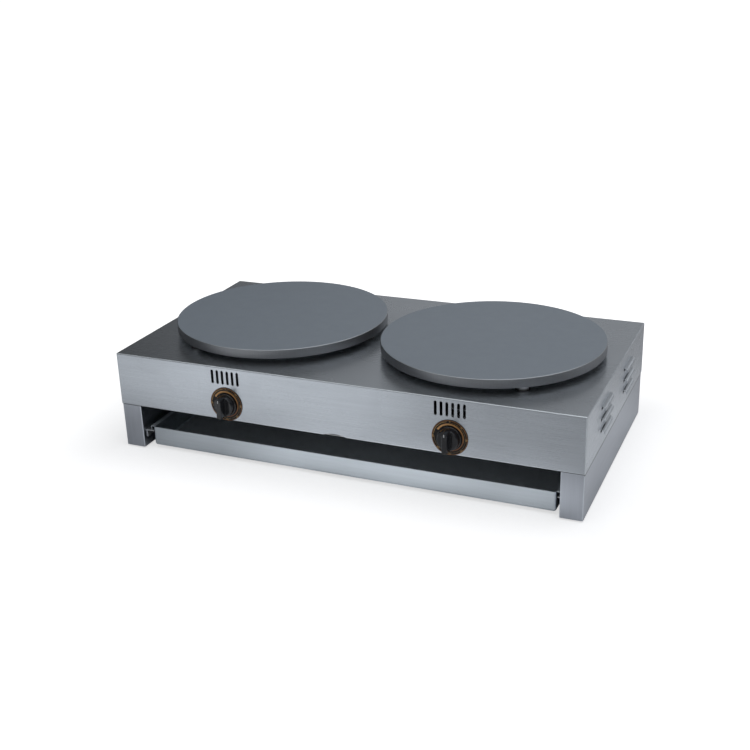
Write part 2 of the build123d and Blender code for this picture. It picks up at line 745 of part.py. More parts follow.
tail_starts = (
    (element_outer_radius, element_start_angle),
    (element_inner_radius, element_end_angle),
)
tail_places = [tail_end(radius, angle) for radius, angle in tail_starts]
tail_hole_places = [tail_end(*start, element_bend_radius / 2) for start in tail_starts]
tail_hole_diameter = element_tube + element_bend_radius + 2 * tail_hole_gap
tail_bottom_z = element_z - element_bend_radius - element_tail_length


def tail_bend(sign, radius, angle):
    """Start, middle and end of the bend from a hanging tail into its loop."""
    x, y = radius * cos(radians(angle)), radius * sin(radians(angle))
    lean = element_bend_radius * sin(radians(45))
    drop = element_bend_radius * (1 - cos(radians(45)))
    middle = (x + lean * sin(radians(angle)), y - lean * cos(radians(angle)))
    return (
        spot(sign, *tail_end(radius, angle), element_z - element_bend_radius),
        spot(sign, *middle, element_z - drop),
        spot(sign, x, y, element_z),
    )


def loop_arc(sign, radius, start, turn):
    """Start, middle and end of a loop about the plate's centre."""
    angles = [start, start + turn / 2, start + turn]
    return [
        spot(sign, radius * cos(radians(a)), radius * sin(radians(a)), element_z) for a in angles
    ]


def hairpin(sign, angle):
    """Start, middle and end of the half turn that joins the outer loop to the inner one."""
    middle_radius = (element_outer_radius + element_inner_radius) / 2
    reach = (element_outer_radius - element_inner_radius) / 2
    x = middle_radius * cos(radians(angle)) - reach * sin(radians(angle))
    y = middle_radius * sin(radians(angle)) + reach * cos(radians(angle))
    outer = loop_arc(sign, element_outer_radius, angle, 0)[0]
    inner = loop_arc(sign, element_inner_radius, angle, 0)[0]
    return outer, spot(sign, x, y, element_z), inner


def stack_holes(sign):
    """Passages through a layer of the stack for the stud, the element's tails and the capillary."""
    with Locations(spot(sign, 0, 0, 0)[:2]):
        Circle(stud_diameter / 2 + stack_gap, mode=Mode.SUBTRACT)
    with Locations(*[spot(sign, x, y, 0)[:2] for x, y in tail_hole_places]):
        Circle(tail_hole_diameter / 2, mode=Mode.SUBTRACT)
    with Locations(spot(sign, capillary_x, -bulb_radius, 0)[:2]):
        Circle(capillary_hole_diameter / 2, mode=Mode.SUBTRACT)


for side_name, sign in sides:
    turn_angle = element_start_angle + element_turn
    first_bend = tail_bend(sign, *tail_starts[0])
    last_bend = tail_bend(sign, *tail_starts[1])
    first_end = (*first_bend[0][:2], tail_bottom_z)
    last_end = (*last_bend[0][:2], tail_bottom_z)
    with BuildPart() as heating_element:
        with BuildLine() as element_path:
            Line(first_end, first_bend[0])
            ThreePointArc(*first_bend)
            ThreePointArc(*loop_arc(sign, element_outer_radius, element_start_angle, element_turn))
            ThreePointArc(*hairpin(sign, turn_angle))
            ThreePointArc(*loop_arc(sign, element_inner_radius, turn_angle, -element_inner_turn))
            ThreePointArc(*reversed(last_bend))
            Line(last_bend[0], last_end)
        with BuildSketch(Plane.XY.offset(tail_bottom_z)):
            with Locations(first_end[:2]):
                Circle(element_tube / 2)
        sweep(path=element_path.line)
        # Cold pins that the leads are clamped to
        with BuildSketch(Plane.XY.offset(tail_bottom_z)):
            with Locations(first_end[:2], last_end[:2]):
                Circle(terminal_pin_diameter / 2)
        extrude(amount=-terminal_pin_length)
    finish(heating_element, f"{side_name}_heating_element")

    with BuildPart() as element_clamp:
        with BuildSketch(Plane.XY.offset(clamp_z)):
            with Locations(spot(sign, 0, 0, 0)[:2]):
                Circle(clamp_diameter / 2)
            stack_holes(sign)
        extrude(amount=clamp_thickness)
    finish(element_clamp, f"{side_name}_element_clamp")

    with BuildPart() as insulation:
        with BuildSketch(Plane.XY.offset(insulation_z)):
            with Locations(spot(sign, 0, 0, 0)[:2]):
                Circle(clamp_diameter / 2)
            stack_holes(sign)
        extrude(amount=insulation_thickness)
    finish(insulation, f"{side_name}_insulation")

    with BuildPart() as heat_pan:
        with BuildSketch(Plane.XY.offset(pan_z)):
            with Locations(spot(sign, 0, 0, 0)[:2]):
                Circle(pan_diameter / 2)
            stack_holes(sign)
        extrude(amount=pan_sheet)
        with BuildSketch(Plane.XY.offset(pan_z)):
            with Locations(spot(sign, 0, 0, 0)[:2]):
                Circle(pan_diameter / 2)
                Circle(pan_diameter / 2 - pan_sheet, mode=Mode.SUBTRACT)
        extrude(amount=clamp_z + clamp_thickness - pan_z)
    finish(heat_pan, f"{side_name}_heat_pan")

clamp_stud_bottom_z = pan_z - stack_gap - nut_height - stud_tip
stud_places = [spot(sign, 0, 0, 0)[:2] for side_name, sign in sides]
with BuildPart() as clamp_studs:
    with BuildSketch(Plane.XY.offset(clamp_stud_bottom_z)):
        with Locations(*stud_places):
            Circle(stud_diameter / 2)
    extrude(amount=web_z + stud_thread_depth - stack_gap - clamp_stud_bottom_z)
finish(clamp_studs, "clamp_studs")

with BuildPart() as clamp_nuts:
    with BuildSketch(Plane.XY.offset(pan_z - stack_gap - nut_height)):
        with Locations(*stud_places):
            RegularPolygon(nut_across_flats / 2, 6, major_radius=False)
            Circle(stud_diameter / 2 + stack_gap, mode=Mode.SUBTRACT)
    extrude(amount=nut_height)
finish(clamp_nuts, "clamp_nuts")

# --- Temperature sensors: a bulb held against each plate and its capillary to the thermostat ------------------
thermostat_back = thermostat_back_y - mid_y
for side_name, sign in sides:
    with BuildPart() as sensor:
        with BuildSketch(Plane.YZ.offset(spot(sign, -bulb_length / 2, 0, 0)[0])):
            with Locations((mid_y - bulb_radius, bulb_z)):
                Circle(bulb_diameter / 2)
        extrude(amount=sign * bulb_length)
        with BuildLine() as capillary_path:
            FilletPolyline(
                spot(sign, bulb_length / 2, -bulb_radius, bulb_z),
                spot(sign, capillary_x, -bulb_radius, bulb_z),
                spot(sign, capillary_x, -bulb_radius, capillary_low_z),
                spot(sign, capillary_thermostat_x, thermostat_back + capillary_entry, knob_z),
                spot(sign, capillary_thermostat_x, thermostat_back, knob_z),
                radius=capillary_bend,
            )
        with BuildSketch(Plane.YZ.offset(spot(sign, bulb_length / 2, 0, 0)[0])):
            with Locations((mid_y - bulb_radius, bulb_z)):
                Circle(capillary_diameter / 2)
        sweep(path=capillary_path.line)
    finish(sensor, f"{side_name}_sensor")

clip_inner = bulb_diameter + 2 * stack_gap
clip_drop = bulb_diameter + 2 * stack_gap + bulb_clip_sheet
with BuildPart() as sensor_clips:
    for side_name, sign in sides:
        with BuildSketch(Plane.YZ.offset(sign * (plate_x - bulb_clip_width / 2))):
            with Locations((mid_y - bulb_radius, web_z - clip_drop / 2)):
                Rectangle(clip_inner + 2 * bulb_clip_sheet, clip_drop)
            with Locations((mid_y - bulb_radius, web_z - bulb_clip_sheet / 2)):
                Rectangle(clip_inner + 2 * bulb_clip_flange, bulb_clip_sheet)
            with Locations((mid_y - bulb_radius, web_z - (clip_drop - bulb_clip_sheet) / 2)):
                Rectangle(clip_inner, clip_drop - bulb_clip_sheet, mode=Mode.SUBTRACT)
        extrude(amount=sign * bulb_clip_width)
finish(sensor_clips, "sensor_clips")

# --- Thermostats behind the front panel --------------------------------------------------------------------------
spindle_bore = spindle_diameter / 2 + spindle_running_gap
for side_name, sign in sides:
    knob_centre = (sign * plate_x, knob_z)
    own_screws = [point for point in thermostat_screw_points if point[0] * sign > 0]
    with BuildPart() as thermostat:
        with BuildSketch(upright(inner_front_y)):
            with Locations(knob_centre):
                RectangleRounded(thermostat_plate_width, thermostat_plate_height, thermostat_corner)
            with Locations(*own_screws):
                Circle(thermostat_screw_diameter / 2 + stack_gap, mode=Mode.SUBTRACT)
        extrude(amount=-thermostat_plate)
        with BuildSketch(upright(inner_front_y + thermostat_plate)):
            with Locations(knob_centre):
                RectangleRounded(thermostat_width, thermostat_body_height, thermostat_corner)
            with Locations(*own_screws):
                Circle(thermostat_screw_diameter / 2 + stack_gap, mode=Mode.SUBTRACT)
        extrude(amount=-thermostat_body_depth)
        with BuildSketch(upright(inner_front_y)):
            with Locations(knob_centre):
                Circle(bush_diameter / 2)
        extrude(amount=bush_length)
        with BuildSketch(upright(inner_front_y - bush_length)):
            with Locations(knob_centre):
                Circle(spindle_bore)
        extrude(amount=-(bush_length + spindle_depth), mode=Mode.SUBTRACT)
    finish(thermostat, f"{side_name}_thermostat")

    spindle_tip_y = knob_back_y - knob_bore_depth + stack_gap
    spindle_end_y = inner_front_y + spindle_depth - spindle_end_gap
    flat_z = knob_z + spindle_diameter / 2 - spindle_flat
    with BuildPart() as spindle:
        with BuildSketch(upright(spindle_end_y)):
            with Locations(knob_centre):
                Circle(spindle_diameter / 2)
        extrude(amount=spindle_end_y - spindle_tip_y)
        with BuildSketch(upright(knob_back_y - knob_recess_depth)):
            with Locations((sign * plate_x, flat_z + spindle_flat / 2)):
                Rectangle(spindle_diameter, spindle_flat)
        extrude(amount=knob_bore_depth, mode=Mode.SUBTRACT)
    finish(spindle, f"{side_name}_spindle")

    with BuildPart() as dial:
        with BuildSketch(upright(front_y)):
            with Locations(knob_centre):
                Circle(dial_diameter / 2)
                Circle(spindle_hole_diameter / 2, mode=Mode.SUBTRACT)
            with Locations(*own_screws):
                Circle(thermostat_screw_diameter / 2 + stack_gap, mode=Mode.SUBTRACT)
        extrude(amount=dial_thickness)
        rim = dial.edges().filter_by(GeomType.CIRCLE).group_by(Axis.Y)[0].sort_by(SortBy.RADIUS)[-1]
        fillet(rim, dial_edge_radius)
    finish(dial, f"{side_name}_dial")

    # --- Knob: skirt, tapered body and a bar grip with a pointer groove ---
    with BuildPart() as knob:
        with BuildSketch(upright(knob_back_y)):
            with Locations(knob_centre):
                Circle(knob_skirt_diameter / 2)
        extrude(amount=knob_skirt_height)
        fillet(knob.edges().group_by(Axis.Y)[0], knob_skirt_round)
        with BuildSketch(upright(knob_back_y - knob_skirt_height)):
            with Locations(knob_centre):
                Circle(knob_body_base / 2)
        with BuildSketch(upright(knob_back_y - knob_body_height)):
            with Locations(knob_centre):
                Circle(knob_body_top / 2)
        loft()
        fillet(knob.edges().group_by(Axis.Y)[0], knob_edge_radius)
        with BuildPart(mode=Mode.PRIVATE) as grip:
            with BuildSketch(upright(knob_back_y - knob_skirt_height)):
                with Locations(knob_centre):
                    RectangleRounded(knob_grip_width, knob_grip_length, knob_grip_corner)
            with BuildSketch(upright(knob_back_y - knob_height)):
                with Locations(knob_centre):
                    RectangleRounded(knob_grip_top_width, knob_grip_top_length, knob_grip_corner)
            loft()
            fillet(grip.edges().group_by(Axis.Y)[0], knob_edge_radius)
        add(grip.part)
        with BuildSketch(upright(knob_back_y - knob_height)):
            with Locations((sign * plate_x, knob_z + knob_grip_top_length / 2 - pointer_length / 2)):
                Rectangle(pointer_width, pointer_length)
        extrude(amount=-pointer_depth, mode=Mode.SUBTRACT)
        with BuildSketch(upright(knob_back_y)):
            with Locations(knob_centre):
                Circle(knob_recess_diameter / 2)
        extrude(amount=knob_recess_depth, mode=Mode.SUBTRACT)
        with BuildSketch(upright(knob_back_y)):
            with Locations(knob_centre):
                Circle(spindle_diameter / 2 + stack_gap)
            with Locations((sign * plate_x, flat_z + stack_gap + spindle_flat / 2)):
                Rectangle(spindle_diameter, spindle_flat, mode=Mode.SUBTRACT)
        extrude(amount=knob_bore_depth, mode=Mode.SUBTRACT)
    finish(knob, f"{side_name}_knob")

with BuildPart() as thermostat_screws:
    with BuildSketch(upright(dial_face_y)):
        with Locations(*thermostat_screw_points):
            Circle(thermostat_screw_head / 2)
    extrude(amount=thermostat_screw_head_height)
    with BuildSketch(upright(dial_face_y)):
        with Locations(*thermostat_screw_points):
            Circle(thermostat_screw_diameter / 2)
    extrude(amount=-(dial_thickness + sheet + thermostat_plate + thermostat_screw_bite))
finish(thermostat_screws, "thermostat_screws")

# --- Cable gland in the back panel, with its locknut inside --------------------------------------------------------
with BuildPart() as cable_gland:
    with BuildSketch(upright(back_y + sheet)):
        with Locations((0, gland_z)):
            RegularPolygon(gland_hex / 2, 6, major_radius=False)
    extrude(amount=-gland_body_length)
    with BuildSketch(upright(back_y + sheet + gland_body_length)):
        with Locations((0, gland_z)):
            Circle(gland_nut_diameter / 2)
    extrude(amount=-gland_nut_length)
    fillet(cable_gland.edges().group_by(Axis.Y)[-1], gland_nut_round)
    with BuildSketch(upright(back_y + sheet)):
        with Locations((0, gland_z)):
            Circle(gland_thread / 2)
    extrude(amount=gland_inside + 2 * sheet)
    with BuildSketch(upright(back_y + sheet + gland_body_length + gland_nut_length)):
        with Locations((0, gland_z)):
            Circle(gland_bore / 2)
    extrude(amount=gland_body_length + gland_nut_length + gland_inside + 2 * sheet, mode=Mode.SUBTRACT)
finish(cable_gland, "cable_gland")

with BuildPart() as gland_locknut:
    with BuildSketch(upright(back_y)):
        with Locations((0, gland_z)):
            RegularPolygon(gland_hex / 2, 6, major_radius=False)
            Circle(gland_thread / 2 + stack_gap, mode=Mode.SUBTRACT)
    extrude(amount=locknut_height)
finish(gland_locknut, "gland_locknut")

# --- Terminal block and earth stud on the housing's floor ------------------------------------------------------------
block_y = back_y - block_back_distance
block_front_y = block_y - terminal_depth / 2
block_length = block_poles * block_pole_pitch
pole_xs = [(i - (block_poles - 1) / 2) * block_pole_pitch for i in range(block_poles)]
wire_z = floor_top_z + block_wire_height
with BuildPart() as terminal_block:
    with BuildSketch(Plane.XY.offset(floor_top_z)):
        with Locations((0, block_y)):
            RectangleRounded(block_length + 2 * block_ear, terminal_depth, block_corner)
    extrude(amount=block_base_height)
    with BuildSketch(Plane.XY.offset(floor_top_z)):
        with Locations((0, block_y)):
            with GridLocations(block_pole_pitch, 0, block_poles, 1):
                Rectangle(block_pole_width, terminal_depth)
    extrude(amount=block_height)
    with BuildSketch(Plane.XY.offset(floor_top_z + block_height)):
        with Locations((0, block_y)):
            with GridLocations(block_pole_pitch, terminal_depth / 2, block_poles, 2):
                Circle(block_screw_diameter / 2 + stack_gap)
    extrude(amount=-block_screw_depth, mode=Mode.SUBTRACT)
finish(terminal_block, "terminal_block")

with BuildPart() as terminal_screws:
    with BuildSketch(Plane.XY.offset(floor_top_z + block_height - block_screw_depth)):
        with Locations((0, block_y)):
            with GridLocations(block_pole_pitch, terminal_depth / 2, block_poles, 2):
                Circle(block_screw_diameter / 2)
    extrude(amount=block_screw_height)
finish(terminal_screws, "terminal_screws")

with BuildPart() as earth_stud:
    with BuildSketch(Plane.XY.offset(floor_top_z - floor_sheet)):
        with Locations((0, earth_y)):
            Circle(earth_diameter / 2)
    extrude(amount=earth_length)
    with BuildSketch(Plane.XY.offset(floor_top_z)):
        with Locations((0, earth_y)):
            RegularPolygon(leg_bolt_head / 2, 6)
    extrude(amount=wire_z - floor_top_z + wire_diameter / 2)
finish(earth_stud, "earth_stud")

# --- Wiring: live, neutral and switched leads of each plate, and the earth lead -----------------------------------------
def lead(start, points):
    """A round lead along straight runs with rounded turns, from a start section's plane."""
    with BuildPart() as wire:
        with BuildLine() as route:
            FilletPolyline(*points, radius=wire_bend)
        with BuildSketch(start):
            Circle(wire_diameter / 2)
        sweep(path=route.line)
    return wire.part


for side_name, sign in sides:
    live_x, neutral_x = sign * pole_xs[-2], sign * pole_xs[-1]
    switched_pin, neutral_pin = tail_places
    pin_bottom_z = tail_bottom_z - terminal_pin_length
    lead_x = switched_pin[0]
    live_points = [
        (live_x, block_front_y, wire_z),
        (live_x, block_front_y - live_lead_out, wire_z),
        spot(sign, lead_x, thermostat_back + live_lead_in, live_z),
        spot(sign, lead_x, thermostat_back, live_z),
    ]
    neutral_points = [
        (neutral_x, block_front_y, wire_z),
        (neutral_x, block_front_y - neutral_lead_out, wire_z),
        spot(sign, *neutral_pin, wire_z),
        spot(sign, *neutral_pin, pin_bottom_z),
    ]
    switched_points = [
        spot(sign, *switched_pin, pin_bottom_z),
        spot(sign, *switched_pin, switched_z),
        spot(sign, lead_x, thermostat_back, switched_z),
    ]
    with BuildPart() as wiring:
        for points in (live_points, neutral_points):
            add(lead(Plane(origin=points[0], z_dir=(0, -1, 0)), points))
        add(lead(Plane(origin=switched_points[0], z_dir=(0, 0, -1)), switched_points))
    finish(wiring, f"{side_name}_wiring")

with BuildPart() as earth_lead:
    with BuildSketch(upright(block_front_y)):
        with Locations((0, wire_z)):
            Circle(wire_diameter / 2)
    extrude(amount=earth_distance - leg_bolt_head / 2)
finish(earth_lead, "earth_lead")
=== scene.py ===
"""Double electric crepe maker: finishes of the folded steel, cast plates, dials and knobs, and the small
printed and fitted pieces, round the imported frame. Metres, +Z up, front towards -Y."""

import json
from math import cos, pi, radians, sin

import bmesh
import bpy
from mathutils import Matrix, Vector


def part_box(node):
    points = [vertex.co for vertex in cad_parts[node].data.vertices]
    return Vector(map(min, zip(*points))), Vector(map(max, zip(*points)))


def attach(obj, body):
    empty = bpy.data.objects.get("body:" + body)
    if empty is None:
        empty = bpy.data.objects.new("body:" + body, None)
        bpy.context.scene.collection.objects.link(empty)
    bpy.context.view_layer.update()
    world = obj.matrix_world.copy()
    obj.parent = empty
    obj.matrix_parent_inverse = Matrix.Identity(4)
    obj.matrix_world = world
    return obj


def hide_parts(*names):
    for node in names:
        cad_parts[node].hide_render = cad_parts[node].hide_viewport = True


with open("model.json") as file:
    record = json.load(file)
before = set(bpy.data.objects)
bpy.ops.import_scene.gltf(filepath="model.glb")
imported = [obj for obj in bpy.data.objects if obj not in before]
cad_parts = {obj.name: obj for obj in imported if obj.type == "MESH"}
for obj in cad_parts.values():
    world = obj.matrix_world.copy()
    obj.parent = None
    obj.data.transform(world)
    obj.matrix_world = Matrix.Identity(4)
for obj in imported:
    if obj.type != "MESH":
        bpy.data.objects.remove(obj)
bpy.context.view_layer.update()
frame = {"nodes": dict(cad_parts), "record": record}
MM = 0.001
SIDES = ("left", "right")

# --- Places taken from the frame ---
housing_low, housing_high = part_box("top_housing")


def middle_of(node):
    """The middle of a CAD node's box."""
    low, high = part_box(node)
    return (low + high) / 2


def linked(name, data):
    """A new object in the scene."""
    thing = bpy.data.objects.new(name, data)
    bpy.context.scene.collection.objects.link(thing)
    return thing


# --- Camera ---
IMAGE_PIXELS = 750
SENSOR_MM = 36.0
FOCAL_PIXELS = 1146.6
CAMERA_PLACE = Vector((0.77998, -1.82928, 0.91890))
CAMERA_HEADING = radians(23.636)   # turned left from +Y
CAMERA_PITCH = radians(22.068)     # looking down
CAMERA_ROLL = radians(-1.818)
CAMERA_NEAR, CAMERA_FAR = 0.05, 60


def make_camera():
    """The camera, aimed by its heading, pitch and roll."""
    forward = Vector((
        -sin(CAMERA_HEADING) * cos(CAMERA_PITCH),
        cos(CAMERA_HEADING) * cos(CAMERA_PITCH),
        -sin(CAMERA_PITCH),
    ))
    level_right = forward.cross(Vector((0, 0, 1))).normalized()
    level_up = level_right.cross(forward)
    right = cos(CAMERA_ROLL) * level_right + sin(CAMERA_ROLL) * level_up
    up = cos(CAMERA_ROLL) * level_up - sin(CAMERA_ROLL) * level_right
    data = bpy.data.cameras.new("camera")
    data.sensor_width = SENSOR_MM
    data.lens = FOCAL_PIXELS / IMAGE_PIXELS * SENSOR_MM
    data.clip_start = CAMERA_NEAR
    data.clip_end = CAMERA_FAR
    camera = linked("camera", data)
    turn = Matrix((right, up, -forward)).transposed().to_4x4()
    camera.matrix_world = Matrix.Translation(CAMERA_PLACE) @ turn
    bpy.context.scene.camera = camera


# --- Node helpers ---
NUMBER = "NodeSocketFloat"
VECTOR = "NodeSocketVector"
INTEGER = "NodeSocketInt"
SHAPE = "NodeSocketGeometry"


def feed(value, socket):
    """Gives a socket a number, vector or colour, or a link where the value is an output socket."""
    if isinstance(value, bpy.types.NodeSocket):
        socket.id_data.links.new(value, socket)
    elif socket.type == "RGBA":
        socket.default_value = (*value, 1.0)
    else:
        socket.default_value = value


def fill(node, values):
    """Feeds a node's inputs, each by its name or its number; returns the node."""
    for label, value in values.items():
        feed(value, node.inputs[label])
    return node


def place(tree, kind, values=None, **settings):
    """A new node with its settings, and with its inputs fed."""
    made = tree.nodes.new(kind)
    for name, value in settings.items():
        setattr(made, name, value)
    return fill(made, values or {})


def math(tree, operation, *operands):
    """A Math node; each operand is a number or an output socket."""
    made = place(tree, "ShaderNodeMath", dict(enumerate(operands)), operation=operation)
    return made.outputs[0]


def vector_math(tree, operation, *operands):
    """A Vector Math node; each operand is a vector or an output socket."""
    made = place(tree, "ShaderNodeVectorMath", dict(enumerate(operands)), operation=operation)
    return made.outputs["Value" if operation in ("DOT_PRODUCT", "LENGTH") else "Vector"]


def mix_colour(tree, factor, first, second, blend="MIX"):
    """A colour Mix node; each colour is an RGB triple or an output socket."""
    sources = {0: factor, 6: first, 7: second}
    return place(tree, "ShaderNodeMix", sources, data_type="RGBA", blend_type=blend).outputs[2]


def pick(tree, choice, first, second):
    """The first number where the choice is 0, and the second where it is 1."""
    return place(tree, "ShaderNodeMix", {0: choice, 2: first, 3: second}, data_type="FLOAT").outputs[0]


def noise(tree, vector, scale, detail=2.0, roughness=0.5, distortion=0.0):
    """A Noise Texture node's value."""
    return place(tree, "ShaderNodeTexNoise", {
        "Vector": vector, "Scale": scale, "Detail": detail, "Roughness": roughness, "Distortion": distortion,
    }).outputs["Fac"]


def spread(tree, value, low, high, to_low=0.0, to_high=1.0, kind="LINEAR"):
    """The value moved from one range to another, and kept inside it."""
    return place(tree, "ShaderNodeMapRange", {
        "Value": value, "From Min": low, "From Max": high, "To Min": to_low, "To Max": to_high,
    }, interpolation_type=kind).outputs["Result"]


def clamped(tree, value):
    """The value kept between 0 and 1."""
    return place(tree, "ShaderNodeClamp", {"Value": value}).outputs[0]


def combined(tree, **parts):
    """A vector from its X, Y and Z, of which those left out are 0."""
    return place(tree, "ShaderNodeCombineXYZ", parts).outputs[0]


def own_coordinates(tree, kind="Object"):
    """The object's own coordinates, or its own normal."""
    return place(tree, "ShaderNodeTexCoord").outputs[kind]


def axes_of(tree, kind="Object"):
    """The X, Y and Z of the object's own coordinates, or of its own normal."""
    return place(tree, "ShaderNodeSeparateXYZ", {0: own_coordinates(tree, kind)}).outputs


def counted_in(tree, unit):
    """The object's own coordinates, counted in a unit of length."""
    values = {0: own_coordinates(tree), "Scale": math(tree, "DIVIDE", 1.0, unit)}
    return place(tree, "ShaderNodeVectorMath", values, operation="SCALE").outputs["Vector"]


END_FACE = 0.7    # a face whose normal has more X than this is an end face


def on_end_face(tree):
    """1 on the faces that look along X, 0 on the others."""
    return math(tree, "GREATER_THAN", math(tree, "ABSOLUTE", axes_of(tree, "Normal")["X"]), END_FACE)


def new_group(name, inputs, outputs):
    """An empty shader node group from its inputs' names and values and its outputs' names; returns its
    tree, what it is given, and the node that its outputs go to."""
    tree = bpy.data.node_groups.new(name, "ShaderNodeTree")
    for label, value in inputs.items():
        kind = VECTOR if isinstance(value, tuple) else NUMBER
        tree.interface.new_socket(label, in_out="INPUT", socket_type=kind).default_value = value
    for label in outputs:
        kind = VECTOR if label == "Normal" else NUMBER
        tree.interface.new_socket(label, in_out="OUTPUT", socket_type=kind)
    return tree, tree.nodes.new("NodeGroupInput").outputs, tree.nodes.new("NodeGroupOutput")


def use(tree, group, values=None):
    """A group placed in a material, with its own input values; returns its outputs."""
    return place(tree, "ShaderNodeGroup", values, node_tree=group).outputs


# --- Effects that several finishes share ---
FRONT_GRAIN = {"Along": (1, 0, 0), "Across": (0, 1, 1), "End Along": (0, 1, 0), "End Across": (0, 0, 1)}
UPRIGHT_GRAIN = {**FRONT_GRAIN, "Along": (0, 0, 1), "Across": (1, 1, 0)}


def make_grain_group():
    """Brushing lines along each face of a folded sheet: end faces have a direction of their own."""
    sizes = {"Line Length": 70 * MM, "Line Width": 0.4 * MM}
    tree, given, out = new_group("brushing lines", {**FRONT_GRAIN, **sizes}, ("Line", "Band", "Cloud"))
    spot = own_coordinates(tree)
    end_face = on_end_face(tree)
    shares = {}
    for axis, direction, unit in (("X", "Along", "Line Length"), ("Y", "Across", "Line Width")):
        plain = vector_math(tree, "DOT_PRODUCT", spot, given[direction])
        turned = vector_math(tree, "DOT_PRODUCT", spot, given[f"End {direction}"])
        shares[axis] = math(tree, "DIVIDE", pick(tree, end_face, plain, turned), given[unit])
    fine = combined(tree, **shares)
    # The bands are the lines drawn out, far more across than along
    wide = vector_math(tree, "MULTIPLY", fine, (0.45, 0.07, 1.0))
    fill(out, {
        "Line": noise(tree, fine, 1.0, detail=3.0, roughness=0.65),
        "Band": noise(tree, wide, 1.0),
        "Cloud": noise(tree, spot, 7.0, distortion=0.4),
    })
    return tree


def make_edge_group():
    """Rounded-off edges: a normal that turns over each edge, and a mask that is 1 on it."""
    tree, given, out = new_group("eased edges", {"Radius": 0.6 * MM, "Gain": 4.0}, ("Normal", "Edge"))
    eased = place(tree, "ShaderNodeBevel", {"Radius": given["Radius"]}, samples=6).outputs[0]
    plain = place(tree, "ShaderNodeNewGeometry").outputs["Normal"]
    turned = math(tree, "SUBTRACT", 1.0, vector_math(tree, "DOT_PRODUCT", eased, plain))
    fill(out, {"Normal": eased, "Edge": clamped(tree, math(tree, "MULTIPLY", turned, given["Gain"]))})
    return tree


def make_haze_group():
    """Patches of thin film and finger marks, as a mask from 0 to 1, and fine specks."""
    tree, given, out = new_group("handling haze", {"Patch Size": 80 * MM, "Cover": 0.45}, ("Haze", "Speck"))
    field = counted_in(tree, given["Patch Size"])
    patches = noise(tree, field, 1.0, detail=4.0, roughness=0.6, distortion=0.6)
    bare_below = math(tree, "SUBTRACT", 1.0, given["Cover"])
    specks = noise(tree, field, 40.0, detail=3.0, roughness=0.7)
    fill(out, {"Haze": spread(tree, patches, bare_below, 0.85), "Speck": specks})
    return tree


def make_mould_group():
    """Fine skin of moulded, painted or cast surfaces: a height for bump and a mottling value."""
    tree, given, out = new_group("moulded skin", {"Grain Size": 0.6 * MM}, ("Height", "Mottle"))
    field = counted_in(tree, given["Grain Size"])
    fill(out, {
        "Height": noise(tree, field, 1.0, detail=3.0, roughness=0.6),
        "Mottle": noise(tree, field, 0.06, detail=3.0, roughness=0.55),
    })
    return tree


def make_joint_shade_group():
    """Painted shade along the joint between the housing and its legs: 1 at the joint's height, 0 away from
    it.
    """
    tree, given, out = new_group("joint painted shade", {"Reach": 1 * MM, "End Reach": 1 * MM}, ("Painted Shade",))
    reach = pick(tree, on_end_face(tree), given["Reach"], given["End Reach"])
    height = math(tree, "SUBTRACT", axes_of(tree)["Z"], housing_low.z)
    share = math(tree, "DIVIDE", math(tree, "ABSOLUTE", height), reach)
    feed(spread(tree, share, 0.5, 1.0, 1.0, 0.0), out.inputs["Painted Shade"])
    return tree


def make_fold_group():
    """Where a sheet's face turns: 1 halfway round a fold, 0 on the flat; and 1 on faces that look up."""
    tree, given, out = new_group("folds", {"Gain": 4.0, "Lowest Side Fold": -1.0}, ("Fold", "Up"))
    facing = axes_of(tree, "Normal")
    x, y, z = [math(tree, "ABSOLUTE", facing[axis]) for axis in "XYZ"]
    turned = math(tree, "SUBTRACT", 1.0, math(tree, "MAXIMUM", math(tree, "MAXIMUM", x, y), z))
    mask = clamped(tree, math(tree, "MULTIPLY", turned, given["Gain"]))
    # The louvres' hoods are round about the same axis as the folds along the sides, but lie lower
    sideways = math(tree, "LESS_THAN", y, 0.3)
    below = math(tree, "LESS_THAN", axes_of(tree)["Z"], given["Lowest Side Fold"])
    counted = math(tree, "SUBTRACT", 1.0, math(tree, "MULTIPLY", sideways, below))
    fill(out, {"Fold": math(tree, "MULTIPLY", mask, counted), "Up": spread(tree, facing["Z"], 0.6, 0.9)})
    return tree


grain_group = make_grain_group()
edge_group = make_edge_group()
haze_group = make_haze_group()
mould_group = make_mould_group()
joint_shade_group = make_joint_shade_group()
fold_group = make_fold_group()


# --- What each finish is put together from ---
NOISE_LOW, NOISE_HIGH = 0.3, 0.7    # a noise value stays between these nearly everywhere


def new_material(name, colour, roughness, metallic=0.0, **constants):
    """A material with one Principled shader whose constants stand on its own sockets."""
    material = bpy.data.materials.new(name)
    material.use_nodes = True
    tree = material.node_tree
    shader = tree.nodes["Principled BSDF"]
    shader.inputs["Base Color"].default_value = (*colour, 1.0)
    shader.inputs["Roughness"].default_value = roughness
    shader.inputs["Metallic"].default_value = metallic
    for label, value in constants.items():
        label = label.replace("_", " ").title().replace("Ior", "IOR")
        shader.inputs[label].default_value = value
    return material, tree, shader


def bumped(tree, height, distance, strength, normal=None):
    """A normal raised by a height, over eased edges if their normal is given."""
    made = place(tree, "ShaderNodeBump", {"Height": height, "Distance": distance, "Strength": strength})
    if normal is not None:
        feed(normal, made.inputs["Normal"])
    return made.outputs[0]


def from_noise(tree, value, to_low, to_high):
    """A noise value moved to a range."""
    return spread(tree, value, NOISE_LOW, NOISE_HIGH, to_low, to_high)


def tinted(tree, colour, value, strength):
    """The colour made lighter and darker by a noise value."""
    level = from_noise(tree, value, 1.0 - strength, 1.0 + strength)
    return mix_colour(tree, 1.0, colour, level, "MULTIPLY")


def fainter(tree, value, share):
    """A noise value drawn towards its middle, where the share is below 1."""
    return math(tree, "MULTIPLY_ADD", math(tree, "SUBTRACT", value, 0.5), share, 0.5)


